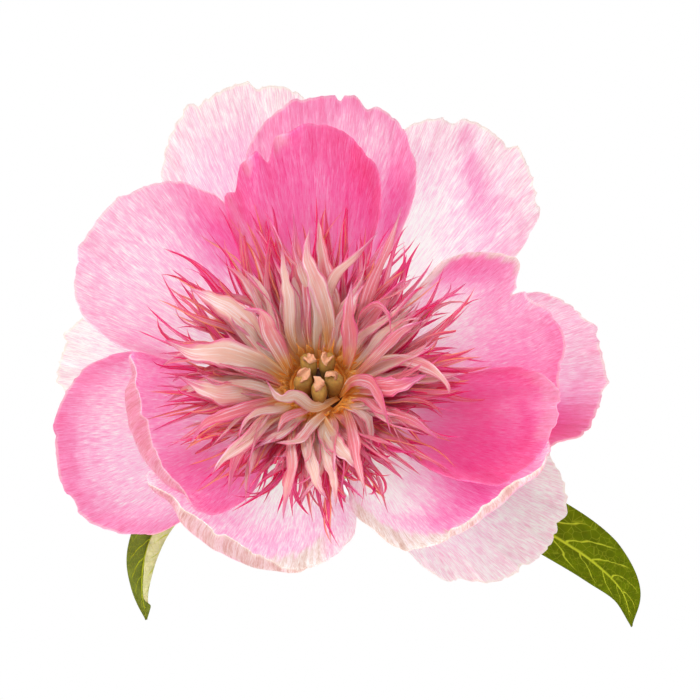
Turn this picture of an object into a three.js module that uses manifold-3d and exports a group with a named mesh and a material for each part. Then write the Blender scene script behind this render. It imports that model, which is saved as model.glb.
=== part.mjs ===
// A cut peony of the Japanese form: guard petals, cupped pink petals and a burst of petal-like
// staminodes round five carpels. It lies on its back petals with a short cut stem and two leaves.
// Millimetres, +Z up. The bloom's own axis leans back from the vertical, towards +Y.
import * as THREE from "three";
import { mergeVertices } from "three/addons/utils/BufferGeometryUtils.js";
import Module from "manifold-3d";

// Driving dimensions.
const AXIS_LEAN = 18; // degrees between the bloom's axis and the vertical
const RECEPTACLE_HEIGHT = 28.4; // top of the receptacle over the surface that the flower lies on
const RECEPTACLE_IN_BOX = new THREE.Vector2(-9.8, -10.08); // receptacle from the middle of the flower's box
const RECEPTACLE_RADIUS = 7;
const RECEPTACLE_DEPTH = 10.4; // side wall that carries the sepals and petals
const STEM_RADIUS = 2.9;
const SEAT_GAP = 0.35; // between a piece and what carries it
const CLAW_GAP = 0.45; // between the receptacle's wall and a petal's middle sheet
const PETAL_THICKNESS = 0.8;
const SEPAL_THICKNESS = 1;
const STAMINODE_THICKNESS = 1;

const CLAW_RADIUS = RECEPTACLE_RADIUS + CLAW_GAP; // where petals and sepals leave the receptacle
const PALE_PINK = 0xf6d3e2;
const PINK = 0xee8fbd;
const DEEP_PINK = 0xe85fa5;
const MAGENTA = 0xc9346f;
const CREAM = 0xe9c3ad;
const OLIVE_BROWN = 0x7d6a35;
const LEAF_GREEN = 0x64780f;
const STEM_GREEN = 0x7f8c3a;

const rad = THREE.MathUtils.degToRad;
const smooth = (low, high, x) => THREE.MathUtils.smoothstep(x, low, high);
const vec = (x, y, z) => new THREE.Vector3(x, y, z);

const wasm = await Module();
wasm.setup();

const bloomFrame = new THREE.Matrix4()
  .makeRotationX(-rad(AXIS_LEAN))
  .setPosition(0, 0, RECEPTACLE_HEIGHT);
const upInBloom = vec(0, -Math.sin(rad(AXIS_LEAN)), Math.cos(rad(AXIS_LEAN)));

// Seeded draws from 0 to 1, so that every build places the staminodes alike.
function seededDraws(seed) {
  let state = seed >>> 0;
  return () => {
    state = (Math.imul(state, 1664525) + 1013904223) >>> 0;
    return state / 4294967296;
  };
}

// Four sines of rising frequency make the soft waves of a petal's edge.
function softWaves(seed, x, count) {
  let height = 0;
  for (let k = 0; k < 4; k++) {
    const turns = count * (0.3 + 0.25 * k) * 0.5 * x;
    const phase = (seed * 0.618034 + k * 0.3779) % 1;
    height += Math.sin(2 * Math.PI * (turns + phase)) / (1 + 0.6 * k);
  }
  return height / 2;
}

function solidOf(geometry) {
  const bare = geometry.clone();
  bare.deleteAttribute("normal");
  bare.deleteAttribute("uv");
  const merged = mergeVertices(bare, 1e-4);
  return new wasm.Manifold(
    new wasm.Mesh({
      numProp: 3,
      vertProperties: merged.attributes.position.array,
      triVerts: new Uint32Array(merged.index.array),
    }),
  );
}

// Joins closed geometries into one body and fills the pockets that the joining seals.
function fuse(geometries) {
  const joined = wasm.Manifold.union(geometries.map(solidOf));
  const bodies = joined.decompose().sort((a, b) => b.volume() - a.volume());
  const mesh = bodies[0].getMesh();
  return new THREE.BufferGeometry()
    .setAttribute("position", new THREE.BufferAttribute(mesh.vertProperties, 3))
    .setIndex(new THREE.BufferAttribute(mesh.triVerts, 1));
}

// A closed blade round a sheet of middle points: middle(u, v) runs u from base to tip and v from
// side to side, -1 to 1. Both faces are split into triangles alike. Rows and columns crowd the sides.
function bladeGeometry(rows, columns, middle, thicknessAt, settle = (p) => p) {
  const step = 1e-3;
  const positions = [];
  const faces = [];
  const count = (rows + 1) * (columns + 1);
  for (const side of [1, -1])
    for (let i = 0; i <= rows; i++)
      for (let j = 0; j <= columns; j++) {
        const u = i / rows;
        const v = Math.sin((j / columns - 0.5) * Math.PI);
        const along = middle(Math.min(u + step, 1), v).sub(middle(Math.max(u - step, 0), v));
        const across = middle(u, Math.min(v + step, 1)).sub(middle(u, Math.max(v - step, -1)));
        const normal = along.cross(across).normalize();
        const point = middle(u, v).addScaledVector(normal, (side * thicknessAt(u, v)) / 2);
        positions.push(...settle(point).toArray());
      }
  const at = (side, i, j) => (side > 0 ? 0 : count) + i * (columns + 1) + j;
  const quad = (a, b, c, d) => faces.push(a, b, c, a, c, d);
  for (let i = 0; i < rows; i++)
    for (let j = 0; j < columns; j++) {
      quad(at(1, i, j), at(1, i + 1, j), at(1, i + 1, j + 1), at(1, i, j + 1));
      const [a, b, c, d] = [at(-1, i, j), at(-1, i + 1, j), at(-1, i + 1, j + 1), at(-1, i, j + 1)];
      faces.push(a, c, b, a, d, c);
    }
  for (let i = 0; i < rows; i++) {
    quad(at(1, i, 0), at(-1, i, 0), at(-1, i + 1, 0), at(1, i + 1, 0));
    quad(at(1, i, columns), at(1, i + 1, columns), at(-1, i + 1, columns), at(-1, i, columns));
  }
  for (let j = 0; j < columns; j++) {
    quad(at(1, 0, j), at(1, 0, j + 1), at(-1, 0, j + 1), at(-1, 0, j));
    quad(at(1, rows, j), at(-1, rows, j), at(-1, rows, j + 1), at(1, rows, j + 1));
  }
  return new THREE.BufferGeometry()
    .setAttribute("position", new THREE.Float32BufferAttribute(positions, 3))
    .setIndex(faces);
}

// Petals. Azimuth and half spread (fan) are degrees round the bloom's axis, and rise is the blade's
// slope in degrees at its base, middle and rim. cup lifts both sides in mm and tuck one of them.
// skew shortens one side, twist turns the rim's slope from side to side, notches and curls are
// [place across, half width, depth], and fold rolls one side over: [side, start, degrees]. hem leans
// the rim further in, from a share of the length on, by so many degrees.
const WHORLS = {
  guard: { claw: -6.8, cup: 2.5, colour: PALE_PINK },
  middle: { claw: -4.3, cup: 3, colour: PINK },
  inner: { claw: -1.8, cup: 4, colour: DEEP_PINK },
};
const PETALS = [
  { whorl: "guard", place: "back_left", azimuth: 106, fan: 22, length: 90, rise: [-4, 3, 19] },
  { whorl: "guard", place: "back_right", azimuth: 56, fan: 22, length: 88, rise: [-6, 1, 17] },
  { whorl: "guard", place: "right", azimuth: 5, fan: 24, length: 74, rise: [-2, 10, 20] },
  { whorl: "guard", place: "front_right", azimuth: -36, fan: 25, length: 69, rise: [-6, 2, 10],
    claw: -7, cup: 0, skew: -0.06 },
  { whorl: "guard", place: "left", azimuth: 171, fan: 22, length: 67, rise: [-2, 3, 13], claw: -7.1 },
  { whorl: "middle", place: "back", azimuth: 87, fan: 24, length: 79, rise: [8, 14, 24],
    notches: [[-0.28, 0.06, 0.07]] },
  { whorl: "middle", place: "right", azimuth: 18, fan: 31, length: 67, rise: [10, 22, 50],
    skew: 0.12, fold: [1, 0.78, 150], notches: [[0.24, 0.08, 0.09]], curls: [[0.08, 0.12, 5]] },
  { whorl: "middle", place: "front_right", azimuth: -46, fan: 31, length: 69, rise: [5, 24, 60],
    claw: -3.4, cup: 2, skew: -0.18, tuck: -4, twist: -30, hem: [0.74, 50], notches: [[-0.75, 0.3, 0.1]] },
  { whorl: "middle", place: "front", azimuth: -111, fan: 39, length: 65, rise: [3, 23, 66],
    claw: -4.6, skew: 0.15, tuck: -1, twist: 20, hem: [0.72, 76], notches: [[0.75, 0.35, 0.12]] },
  { whorl: "middle", place: "left", azimuth: 196, fan: 29, length: 69, rise: [1, 9, 22],
    claw: -5, skew: -0.04, tuck: -2 },
  { whorl: "middle", place: "back_left", azimuth: 142, fan: 28, length: 73, rise: [8, 14, 34],
    claw: -4, skew: -0.03, tuck: 1 },
  { whorl: "inner", place: "back", azimuth: 95, fan: 26, length: 70, rise: [19, 28, 44],
    notches: [[0.33, 0.08, 0.11], [0.74, 0.08, 0.07]], curls: [[0.12, 0.14, 8], [0.5, 0.14, 9]] },
  { whorl: "inner", place: "right", azimuth: -20, fan: 21, length: 68, rise: [15, 28, 52], skew: -0.08,
    cup: 3 },
  { whorl: "inner", place: "left", azimuth: 207, fan: 34, length: 64, rise: [13, 28, 70], skew: 0.1,
    cup: 3.5, tuck: 0.8, hem: [0.72, 86] },
];
const PETAL_DEFAULTS = { skew: 0, tuck: 0, twist: 0, notches: [], curls: [], fold: null, hem: [1, 0] };
const SHOULDER = 0.42; // how much shorter a petal's sides are than its middle
const RUFFLE = 1.3; // mm of wave along a petal's edge
const RUFFLE_WAVES = 6;

const bump = (x, [centre, halfWidth, height]) => height * Math.exp(-(((x - centre) / halfWidth) ** 2));

function petalReach(petal, v) {
  const side = Math.abs(v) ** 2.2;
  let reach = 1 - SHOULDER * (1 - Math.sqrt(Math.max(0, 1 - side))) - petal.skew * v;
  for (const notch of petal.notches) reach -= bump(v, notch);
  return reach;
}

// Radius, height and slope of the petal's midline at the share s of its length.
function petalMidline(petal, s, v) {
  const [base, middle, rim] = petal.rise.map(rad);
  const tip = rim + rad(petal.twist) * v;
  const [hem, lean] = petal.hem;
  const slope = (x) =>
    base * (1 - x) * (1 - 2 * x) + middle * 4 * x * (1 - x) + tip * x * (2 * x - 1) +
    (rad(lean) * Math.max(0, x - hem)) / Math.max(1 - hem, 0.01);
  const steps = 40;
  const stride = (s * petal.length) / steps;
  let radius = CLAW_RADIUS;
  let height = petal.claw;
  for (let k = 0; k < steps; k++) {
    const angle = slope(((k + 0.5) / steps) * s);
    radius += Math.cos(angle) * stride;
    height += Math.sin(angle) * stride;
  }
  return { radius, height, angle: slope(s) };
}

function petalPoint(petal, u, v) {
  const s = u * petalReach(petal, v);
  const [side, start, turn] = petal.fold ?? [1, 2, 1];
  const past = Math.max(0, v * side - start);
  const roll = ((rad(turn) * past) / (1 - start)) * smooth(0.25, 0.6, u);
  const flat = past > 0 ? start * side : v;
  const across = flat + side * (roll > 1e-6 ? (past * Math.sin(roll)) / roll : past);
  const spread = rad(petal.fan) * (0.5 + 0.5 * smooth(0, 0.5, s));
  const azimuth = rad(petal.azimuth) + spread * across;
  const { radius, height, angle } = petalMidline(petal, s, v);
  let lift = (petal.cup * v * v + petal.tuck * v) * smooth(0.05, 0.7, u);
  const rim = Math.max(0, (u - 0.72) / 0.28) ** 2;
  for (const curl of petal.curls) lift += bump(v, curl) * rim;
  const edge = Math.max(smooth(0.55, 1, u), smooth(0.75, 1, Math.abs(v)) * smooth(0.3, 0.7, u));
  lift += RUFFLE * edge * softWaves(petal.seed, v + 0.25 * u, RUFFLE_WAVES);
  if (roll > 1e-6) lift += (spread * radius * past * (1 - Math.cos(roll))) / roll;
  const r = radius - lift * Math.sin(angle);
  return vec(r * Math.cos(azimuth), r * Math.sin(azimuth), height + lift * Math.cos(angle));
}

// What would reach below the surface that the flower lies on rests flat on it.
function restOnSurface(point) {
  const height = point.dot(upInBloom) + RECEPTACLE_HEIGHT;
  return height < 0 ? point.addScaledVector(upInBloom, -height) : point;
}

function petalMesh(row, index) {
  const whorl = WHORLS[row.whorl];
  const petal = { ...PETAL_DEFAULTS, ...whorl, ...row, seed: index + 1 };
  const geometry = bladeGeometry(
    7,
    14,
    (u, v) => petalPoint(petal, u, v),
    () => PETAL_THICKNESS,
    restOnSurface,
  );
  return finished(`petal_${row.whorl}_${row.place}`, geometry, whorl.colour, 0.5);
}

// Sepals: five short green blades under the guard petals.
const SEPAL_COUNT = 5;
const SEPAL = { ...PETAL_DEFAULTS, fan: 33, length: 17, rise: [-22, -14, 0], claw: -9.4, cup: 1.2 };

function sepalMesh(index) {
  const sepal = { ...SEPAL, azimuth: 20 + (index * 360) / SEPAL_COUNT, seed: 30 + index };
  const geometry = bladeGeometry(3, 6, (u, v) => petalPoint(sepal, u, v), () => SEPAL_THICKNESS);
  return finished(`sepal_${index + 1}`, geometry, LEAF_GREEN, 0.6);
}

// A tapering ribbon with a lozenge section, from its root at [radius, height] up to a pointed tip.
// rise is its slope at root and tip, drift how far it swings round the axis, twist its turn about
// its own length, all in degrees. widest is the share of its length where it is widest.
function ribbonGeometry(ribbon, sections, thickness) {
  const { azimuth, drift, root, length, rise, width, twist, widest } = ribbon;
  const path = (t) => {
    const steps = 24;
    let [radius, height] = root;
    for (let k = 0; k < steps; k++) {
      const share = ((k + 0.5) / steps) * t;
      const slope = rad(rise[0] + (rise[1] - rise[0]) * share);
      radius += (Math.cos(slope) * length * t) / steps;
      height += (Math.sin(slope) * length * t) / steps;
    }
    const turn = rad(azimuth + drift * t * t);
    return vec(radius * Math.cos(turn), radius * Math.sin(turn), height);
  };
  const widthAt = (t) =>
    width * (t < widest ? 0.4 + 0.6 * Math.sin(((t / widest) * Math.PI) / 2)
      : 1 - ((t - widest) / (1 - widest)) ** 1.6);
  const positions = [];
  for (let i = 0; i < sections; i++) {
    const t = i / sections;
    const centre = path(t);
    const tangent = path(t + 0.01).sub(path(t - 0.01)).normalize();
    const turn = rad(azimuth + drift * t * t);
    const side = vec(-Math.sin(turn), Math.cos(turn), 0);
    side.addScaledVector(tangent, -side.dot(tangent)).normalize();
    side.applyAxisAngle(tangent, rad(twist * t));
    const normal = side.clone().cross(tangent);
    const half = widthAt(t) / 2;
    for (const [across, over] of [[half, 0], [0, thickness / 2], [-half, 0], [0, -thickness / 2]])
      positions.push(...centre.clone().addScaledVector(side, across).addScaledVector(normal, over).toArray());
  }
  positions.push(...path(1).toArray());
  const faces = [0, 1, 2, 0, 2, 3];
  for (let i = 0; i < sections - 1; i++)
    for (let k = 0; k < 4; k++) {
      const [a, b] = [4 * i + k, 4 * i + ((k + 1) % 4)];
      faces.push(a, b + 4, b, a, a + 4, b + 4);
    }
  const last = 4 * (sections - 1);
  for (let k = 0; k < 4; k++) faces.push(last + k, last + 4, last + ((k + 1) % 4));
  return new THREE.BufferGeometry()
    .setAttribute("position", new THREE.Float32BufferAttribute(positions, 3))
    .setIndex(faces);
}

// The disc that each ring of staminodes grows from, a closed ring between two radii and two heights.
function ringGeometry([inner, outer], [low, high]) {
  const outline = [
    [inner, low], [outer, low], [outer, high - 0.6], [outer - 0.8, high], [inner, high], [inner, low],
  ];
  return new THREE.LatheGeometry(outline.map(([r, z]) => new THREE.Vector2(r, z)), 20).rotateX(Math.PI / 2);
}

// Outer staminodes: narrow, pointed and magenta, a low burst close over the petals.
const OUTER_RING = { radii: [7, 11.2], heights: [SEAT_GAP, 2.6] };
const OUTER_STAMINODES = 96;
const OUTER_TIERS = 3; // each a little higher and steeper than the one before

function outerStaminodes() {
  const draw = seededDraws(20);
  const between = (low, high) => low + (high - low) * draw();
  const pieces = [ringGeometry(OUTER_RING.radii, OUTER_RING.heights)];
  for (let i = 0; i < OUTER_STAMINODES; i++) {
    const tier = i % OUTER_TIERS;
    const azimuth = (i * 360) / OUTER_STAMINODES + between(-2, 2);
    const reach = 40.5 + 5 * Math.sin(rad(azimuth)) - 1.5 * Math.cos(rad(azimuth));
    const ribbon = {
      azimuth,
      drift: between(-9, 9),
      root: [10 - 0.5 * tier, 1 + 0.55 * tier],
      length: reach + between(-5, 4) - 2.5 * tier,
      rise: [between(32, 35) + 4 * tier, between(23, 31) + 4 * tier],
      width: between(2, 3.4),
      twist: between(-70, 70),
      widest: between(0.4, 0.6),
    };
    pieces.push(ribbonGeometry(ribbon, 3, STAMINODE_THICKNESS));
  }
  return finished("staminodes_outer", fuse(pieces), MAGENTA, 0.5);
}

// Inner staminodes: broader cream ribbons that arch over the outer ones. The first are placed one by
// one, as [azimuth, length, slope at root, slope at tip, width, drift, twist], the rest by a rule.
const INNER_RING = { radii: [7.45, 8.6], heights: [2.6 + SEAT_GAP, 5.8] };
const PLACED_RIBBONS = [
  [146, 41, 64, 24, 7.5, 4, 10],
  [154, 33, 70, 44, 6, -6, -35],
  [172, 43, 60, 20, 8, 6, 12],
  [187, 39, 56, 18, 7, 4, -15],
  [110, 34, 72, 44, 5.5, -4, 50],
  [96, 38, 70, 40, 6, 4, -10],
  [66, 30, 74, 48, 5.5, -8, -45],
  [24, 33, 62, 32, 4.5, 10, 60],
  [-7, 36, 54, 18, 8, 6, 10],
  [-38, 25, 74, 8, 4.5, -20, -80],
  [-70, 29, 62, 30, 6, 8, 15],
  [-88, 37, 56, 28, 5.5, -8, 30],
  [228, 42, 56, 24, 6, 8, -20],
  [243, 27, 66, 34, 5.5, -8, 40],
  [128, 38, 64, 34, 6, 6, 25],
  [50, 36, 64, 34, 5, -6, 55],
];
const INNER_STAMINODES = 26;

function innerStaminodes() {
  const draw = seededDraws(7);
  const between = (low, high) => low + (high - low) * draw();
  const pieces = [ringGeometry(INNER_RING.radii, INNER_RING.heights)];
  const root = [8, 4.9];
  for (const [azimuth, length, base, tip, width, drift, twist] of PLACED_RIBBONS)
    pieces.push(ribbonGeometry({ azimuth, drift, root, length, rise: [base, tip], width, twist, widest: 0.5 },
      4, STAMINODE_THICKNESS));
  for (let i = 0; i < INNER_STAMINODES; i++) {
    const base = between(58, 72);
    const ribbon = {
      azimuth: (i * 360) / INNER_STAMINODES + between(-6, 6),
      drift: between(-12, 12),
      root,
      length: between(26, 41),
      rise: [base, base - between(14, 34)],
      width: between(2.4, 4.2),
      twist: between(-80, 80),
      widest: between(0.35, 0.55),
    };
    pieces.push(ribbonGeometry(ribbon, 3, STAMINODE_THICKNESS));
  }
  return finished("staminodes_inner", fuse(pieces), CREAM, 0.5);
}

// Carpels: five flasks on the receptacle, each with its curled stigma crest. Above the rings all of
// them bend back alike.
const CARPEL_AZIMUTHS = [129, 57, 201, 344, 273];
const CARPEL_PROFILE = [[0, 0], [1.1, 0], [1.4, 3], [1.9, 7], [2.2, 10], [1.8, 12.2], [0, 13.4]];
const CARPEL_BULGE = 1.25; // how much deeper a flask is towards the axis than across
const CARPEL_SEAT = 4.15; // from the axis
const CARPEL_LEAN = 2; // degrees outwards
const CARPEL_BEND = { start: 5, slope: 0.2 }; // from this height on, back towards +Y

function carpelMesh(azimuth, index) {
  const flask = new THREE.LatheGeometry(CARPEL_PROFILE.map(([r, z]) => new THREE.Vector2(r, z)), 8);
  flask.rotateX(Math.PI / 2).scale(CARPEL_BULGE, 1, 1);
  const crest = {
    azimuth: 180, drift: 30, root: [-0.6, 11.6], length: 5.5, rise: [110, -50], width: 3, twist: 20,
    widest: 0.6,
  };
  const geometry = fuse([flask, ribbonGeometry(crest, 5, 1.5)]);
  geometry.rotateY(rad(CARPEL_LEAN)).translate(CARPEL_SEAT, 0, 2 * SEAT_GAP).rotateZ(rad(azimuth));
  const place = geometry.attributes.position;
  for (let i = 0; i < place.count; i++)
    place.setY(i, place.getY(i) + CARPEL_BEND.slope * Math.max(0, place.getZ(i) - CARPEL_BEND.start));
  return finished(`carpel_${index + 1}`, geometry, OLIVE_BROWN, 0.5);
}

// Stem and receptacle, in the surface's frame: the stem bends from the bloom's axis to lie down.
const STEM_POINTS = [
  [0, -3.1, 19], [0, -5.6, 12], [0, -10, 6.4], [0, -17, 3.9], [0, -26, 3.05], [0, -36, 2.95],
];
const STEM_SIDES = 10;
const NECK_DEPTH = 2.4; // of the receptacle's taper down to the stem

function stemMesh() {
  const neck = -RECEPTACLE_DEPTH - NECK_DEPTH;
  const profile = [
    [0, neck], [STEM_RADIUS, neck], [RECEPTACLE_RADIUS - 1, -RECEPTACLE_DEPTH],
    [RECEPTACLE_RADIUS, 1 - RECEPTACLE_DEPTH], [RECEPTACLE_RADIUS, 0], [0, 0],
  ];
  const receptacle = new THREE.LatheGeometry(profile.map(([r, z]) => new THREE.Vector2(r, z)), 18);
  receptacle.rotateX(Math.PI / 2).applyMatrix4(bloomFrame);
  const section = new THREE.Shape(
    Array.from({ length: STEM_SIDES }, (_, i) => {
      const turn = ((i + 0.5) * 2 * Math.PI) / STEM_SIDES;
      return new THREE.Vector2(STEM_RADIUS * Math.cos(turn), STEM_RADIUS * Math.sin(turn));
    }),
  );
  const extrudePath = new THREE.CatmullRomCurve3(STEM_POINTS.map((p) => vec(...p)));
  const stalk = new THREE.ExtrudeGeometry(section, { steps: 12, extrudePath });
  return finished("stem", fuse([receptacle, stalk]), STEM_GREEN, 0.6);
}

// Leaves: a lance-shaped blade on a short stalk that springs from the stem, arched down to the
// surface. halfWidths are the blade's two sides, vee lifts both in degrees, and flap is the side that
// is folded over onto the blade, with the share of its width where the crease lies.
const LEAVES = {
  right: {
    midrib: [
      [3.5, -12, 7.4], [20, -18, 12], [44, -29, 11.5], [65, -40.5, 9.2], [80, -50.5, 6.4], [88, -59, 3.6],
      [91, -69, 0.9],
    ],
    halfWidths: [10, 6.2], vee: 9, flap: null,
  },
  left: {
    midrib: [
      [-3.8, -14.5, 5.8], [-19, -21, 10.5], [-35, -28, 11], [-45.5, -37, 9.2], [-50.5, -47, 6.2],
      [-52, -57, 3.2], [-50.8, -67, 0.9],
    ],
    halfWidths: [9, 6], vee: 4, flap: [-1, 0.42],
  },
};
const FLAP_OPENS = [1.6, 4]; // half widths between which a folded side opens out towards the leaf's ends
const STALK_SHARE = 0.18; // of the leaf's length
const STALK_WIDTH = 2.6;
const STALK_THICKNESS = 2;
const LEAF_THICKNESS = 0.8;

function leafMesh(place, leaf) {
  const midrib = new THREE.CatmullRomCurve3(leaf.midrib.map((p) => vec(...p)));
  const [first, second] = leaf.halfWidths;
  const [foldedSide, crease] = leaf.flap ?? [1, 2];
  const halfWidthAt = (u, v) => {
    const t = Math.max(0, (u - STALK_SHARE) / (1 - STALK_SHARE));
    const blade = (v < 0 ? first : second) * Math.max(0, Math.sin(Math.PI * t ** 0.8)) ** 0.9;
    return Math.hypot(blade, (STALK_WIDTH / 2) * (1 - 0.75 * smooth(0.3, 1, u)));
  };
  const middle = (u, v) => {
    const centre = midrib.getPoint(u);
    const along = midrib.getTangent(u);
    const side = along.clone().cross(vec(0, 0, 1)).normalize();
    const over = side.clone().cross(along);
    const half = halfWidthAt(u, v);
    const rise = Math.tan(rad(leaf.vee)) * smooth(STALK_SHARE, 0.5, u);
    const start = crease * half;
    let across = half * v;
    let lift = Math.abs(across) * rise;
    lift += 0.5 * smooth(0.3, 0.5, u) * Math.abs(v) * Math.sin(u * 26 + 2 * v);
    if (v * foldedSide > crease) {
      const bend = Math.min(1.3, 0.2 * half);
      const turn = Math.min((Math.abs(across) - start) / bend, Math.PI * 0.92) * smooth(...FLAP_OPENS, half);
      const beyond = Math.max(0, Math.abs(across) - start - turn * bend);
      lift = start * rise + bend * (1 - Math.cos(turn)) + beyond * Math.sin(turn);
      across = foldedSide * (start + bend * Math.sin(turn) + beyond * Math.cos(turn));
    }
    return centre.addScaledVector(side, across).addScaledVector(over, lift);
  };
  const thickness = (u) =>
    THREE.MathUtils.lerp(STALK_THICKNESS, LEAF_THICKNESS, smooth(0, 2 * STALK_SHARE, u));
  const settle = (p) => p.setZ(Math.max(p.z, 0));
  const geometry = bladeGeometry(13, leaf.flap ? 8 : 6, middle, thickness, settle);
  return finished(`leaf_${place}`, geometry, LEAF_GREEN, 0.5);
}

function finished(name, geometry, color, roughness) {
  const material = new THREE.MeshStandardMaterial({ color, roughness, metalness: 0, flatShading: true });
  const mesh = new THREE.Mesh(geometry, material);
  mesh.name = name;
  return mesh;
}

// Assembly: the bloom in its own leaning frame, stem and leaves in the surface's frame.
const bloom = new THREE.Group();
bloom.rotation.x = -rad(AXIS_LEAN);
bloom.position.z = RECEPTACLE_HEIGHT;
bloom.add(...PETALS.map(petalMesh));
bloom.add(outerStaminodes(), innerStaminodes());
bloom.add(...CARPEL_AZIMUTHS.map(carpelMesh));
for (let i = 0; i < SEPAL_COUNT; i++) bloom.add(sepalMesh(i));

const peony = new THREE.Group();
peony.add(bloom, stemMesh());
for (const [place, leaf] of Object.entries(LEAVES)) peony.add(leafMesh(place, leaf));
peony.position.set(RECEPTACLE_IN_BOX.x, RECEPTACLE_IN_BOX.y, 0);

export default peony;
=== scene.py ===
"""A cut peony of the Japanese form, lying on a bright light table.

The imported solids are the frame. Every petal, burst of staminodes, carpel, sepal, leaf and the stem is
modelled again as a thin, fine piece of nearly the same form, with a procedural material. Sizes are in
millimetres where a piece is shaped, and metres in Blender.
"""

import math
from types import SimpleNamespace

import bpy
import numpy as np
from bpy.props import FloatProperty, FloatVectorProperty, PointerProperty
from mathutils import Matrix


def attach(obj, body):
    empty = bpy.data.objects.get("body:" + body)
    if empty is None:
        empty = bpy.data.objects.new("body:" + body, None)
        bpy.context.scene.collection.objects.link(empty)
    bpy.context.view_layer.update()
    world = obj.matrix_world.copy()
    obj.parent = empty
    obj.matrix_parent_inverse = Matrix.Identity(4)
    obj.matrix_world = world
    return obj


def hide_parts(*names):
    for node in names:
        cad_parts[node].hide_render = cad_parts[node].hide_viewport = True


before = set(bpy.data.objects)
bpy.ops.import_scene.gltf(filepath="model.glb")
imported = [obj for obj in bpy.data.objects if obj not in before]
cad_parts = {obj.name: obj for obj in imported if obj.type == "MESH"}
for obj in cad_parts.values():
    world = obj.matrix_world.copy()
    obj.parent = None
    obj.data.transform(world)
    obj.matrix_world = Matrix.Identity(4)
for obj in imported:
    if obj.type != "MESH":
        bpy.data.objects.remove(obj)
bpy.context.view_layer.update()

bl_info = {
    "name": "Cut Peony",
    "version": (1, 0, 0),
    "blender": (4, 5, 0),
    "location": "View3D > Sidebar > Peony",
    "description": "Models a cut peony of the Japanese form, petal by petal, with its stage",
    "category": "Add Mesh",
}

MM = 0.001

# The bloom's place, as in the solids.
AXIS_LEAN = math.radians(18)  # between the bloom's axis and the vertical
LEAN_SIN, LEAN_COS = math.sin(AXIS_LEAN), math.cos(AXIS_LEAN)
RECEPTACLE_HEIGHT = 28.4
RECEPTACLE_IN_BOX = (-9.8, -10.08)
RECEPTACLE_RADIUS = 7.0
RECEPTACLE_DEPTH = 10.4
STEM_RADIUS = 2.9
CLAW_RADIUS = 7.45  # of the ring that the petals spring from
SEAT_GAP = 0.35

# The photograph's frame: its size, its scale at the receptacle and the receptacle's place in it.
FRAME_PX = 700
MM_PER_PX = 0.28
RECEPTACLE_PX = (319, 392)
CAMERA_HEIGHT = 640.0
CAMERA_AT = (
    RECEPTACLE_IN_BOX[0] + (FRAME_PX / 2 - RECEPTACLE_PX[0]) * MM_PER_PX,
    RECEPTACLE_IN_BOX[1] - (FRAME_PX / 2 - RECEPTACLE_PX[1]) * MM_PER_PX,
)


def srgb(red, green, blue):
    """Linear colour of an sRGB one given from 0 to 255."""
    return tuple(
        c / 12.92 if c <= 0.04045 else ((c + 0.055) / 1.055) ** 2.4
        for c in (red / 255, green / 255, blue / 255)
    )


def colour(name, value, description):
    return FloatVectorProperty(
        name=name, description=description, default=value, size=3, subtype="COLOR", min=0.0, max=1.0
    )


def amount(name, value, description, **kind):
    return FloatProperty(name=name, description=description, default=value, min=0.0, **kind)


def length(name, value, description):
    return amount(name, value * MM, description, unit="LENGTH", precision=5)


class PeonyShape(bpy.types.PropertyGroup):
    petal_thickness: length("Petal thickness", 0.4, "Thickness of every petal")
    petal_ruffle: length("Petal ruffle", 0.55, "Height of the fine waves along a petal's rim")
    staminode_thickness: length("Staminode thickness", 0.3, "Thickness of every staminode")
    sepal_thickness: length("Sepal thickness", 0.8, "Thickness of the sepals")
    leaf_thickness: length("Leaf thickness", 0.5, "Thickness of a leaf's blade")


class PeonyColours(bpy.types.PropertyGroup):
    pink: colour("Petal pink", (0.955, 0.368, 0.65), "Light that comes through one layer of pigment")
    # Ivory also colours the inner staminodes' painted highlights.
    ivory: colour("Ivory", srgb(255, 250, 240), "Rims of the petals, streaks of the inner staminodes")
    magenta: colour("Magenta", srgb(228, 70, 150), "Tips and edges of the outer staminodes")
    rose: colour("Rose", srgb(244, 184, 198), "Middle of the outer staminodes")
    blush: colour("Blush", srgb(214, 136, 152), "Pinker ones of the inner staminodes")
    cream: colour("Cream", srgb(222, 212, 196), "Inner staminodes")
    lilac: colour("Lilac", srgb(206, 116, 170), "Edges and tips of the inner staminodes")
    # Amber also colours the painted glow of the roots.
    amber: colour("Amber", srgb(246, 186, 96), "Roots of the staminodes")
    gold: colour("Gold", srgb(255, 214, 130), "Thin rims of some staminodes")
    # Straw colours the outer staminodes' painted highlights.
    straw: colour("Straw", srgb(255, 222, 205), "Streaks of the outer staminodes")
    olive: colour("Carpel olive", srgb(160, 114, 42), "Carpels")
    salmon: colour("Stigma salmon", srgb(198, 138, 110), "Stigmas")
    leaf: colour("Leaf green", srgb(118, 134, 0), "Leaves and sepals")
    vein: colour("Leaf vein", srgb(206, 212, 60), "Veins of the leaves")
    underside: colour("Leaf underside", srgb(228, 226, 166), "Back of the leaves")
    stem: colour("Stem green", srgb(140, 150, 70), "Stem and receptacle")


class PeonyStage(bpy.types.PropertyGroup):
    camera_height: length("Camera height", CAMERA_HEIGHT, "Distance from the camera to the receptacle")
    table_light: amount("Table light", 1.0, "Strength of the light table under the flower")
    room_light: amount("Room light", 1.5, "Strength of the soft light all round")
    lamp_power: amount("Lamp power", 7.0, "Power of the soft lamp over the flower", unit="POWER")


# Shaping. Arrays of points are in millimetres until a mesh is set from them.


def smooth(low, high, x):
    t = np.clip((x - low) / (high - low), 0.0, 1.0)
    return t * t * (3 - 2 * t)


def bell(x, centre, half_width, height):
    return height * np.exp(-(((x - centre) / half_width) ** 2))


def unit(vectors):
    return vectors / np.linalg.norm(vectors, axis=-1, keepdims=True)


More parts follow.
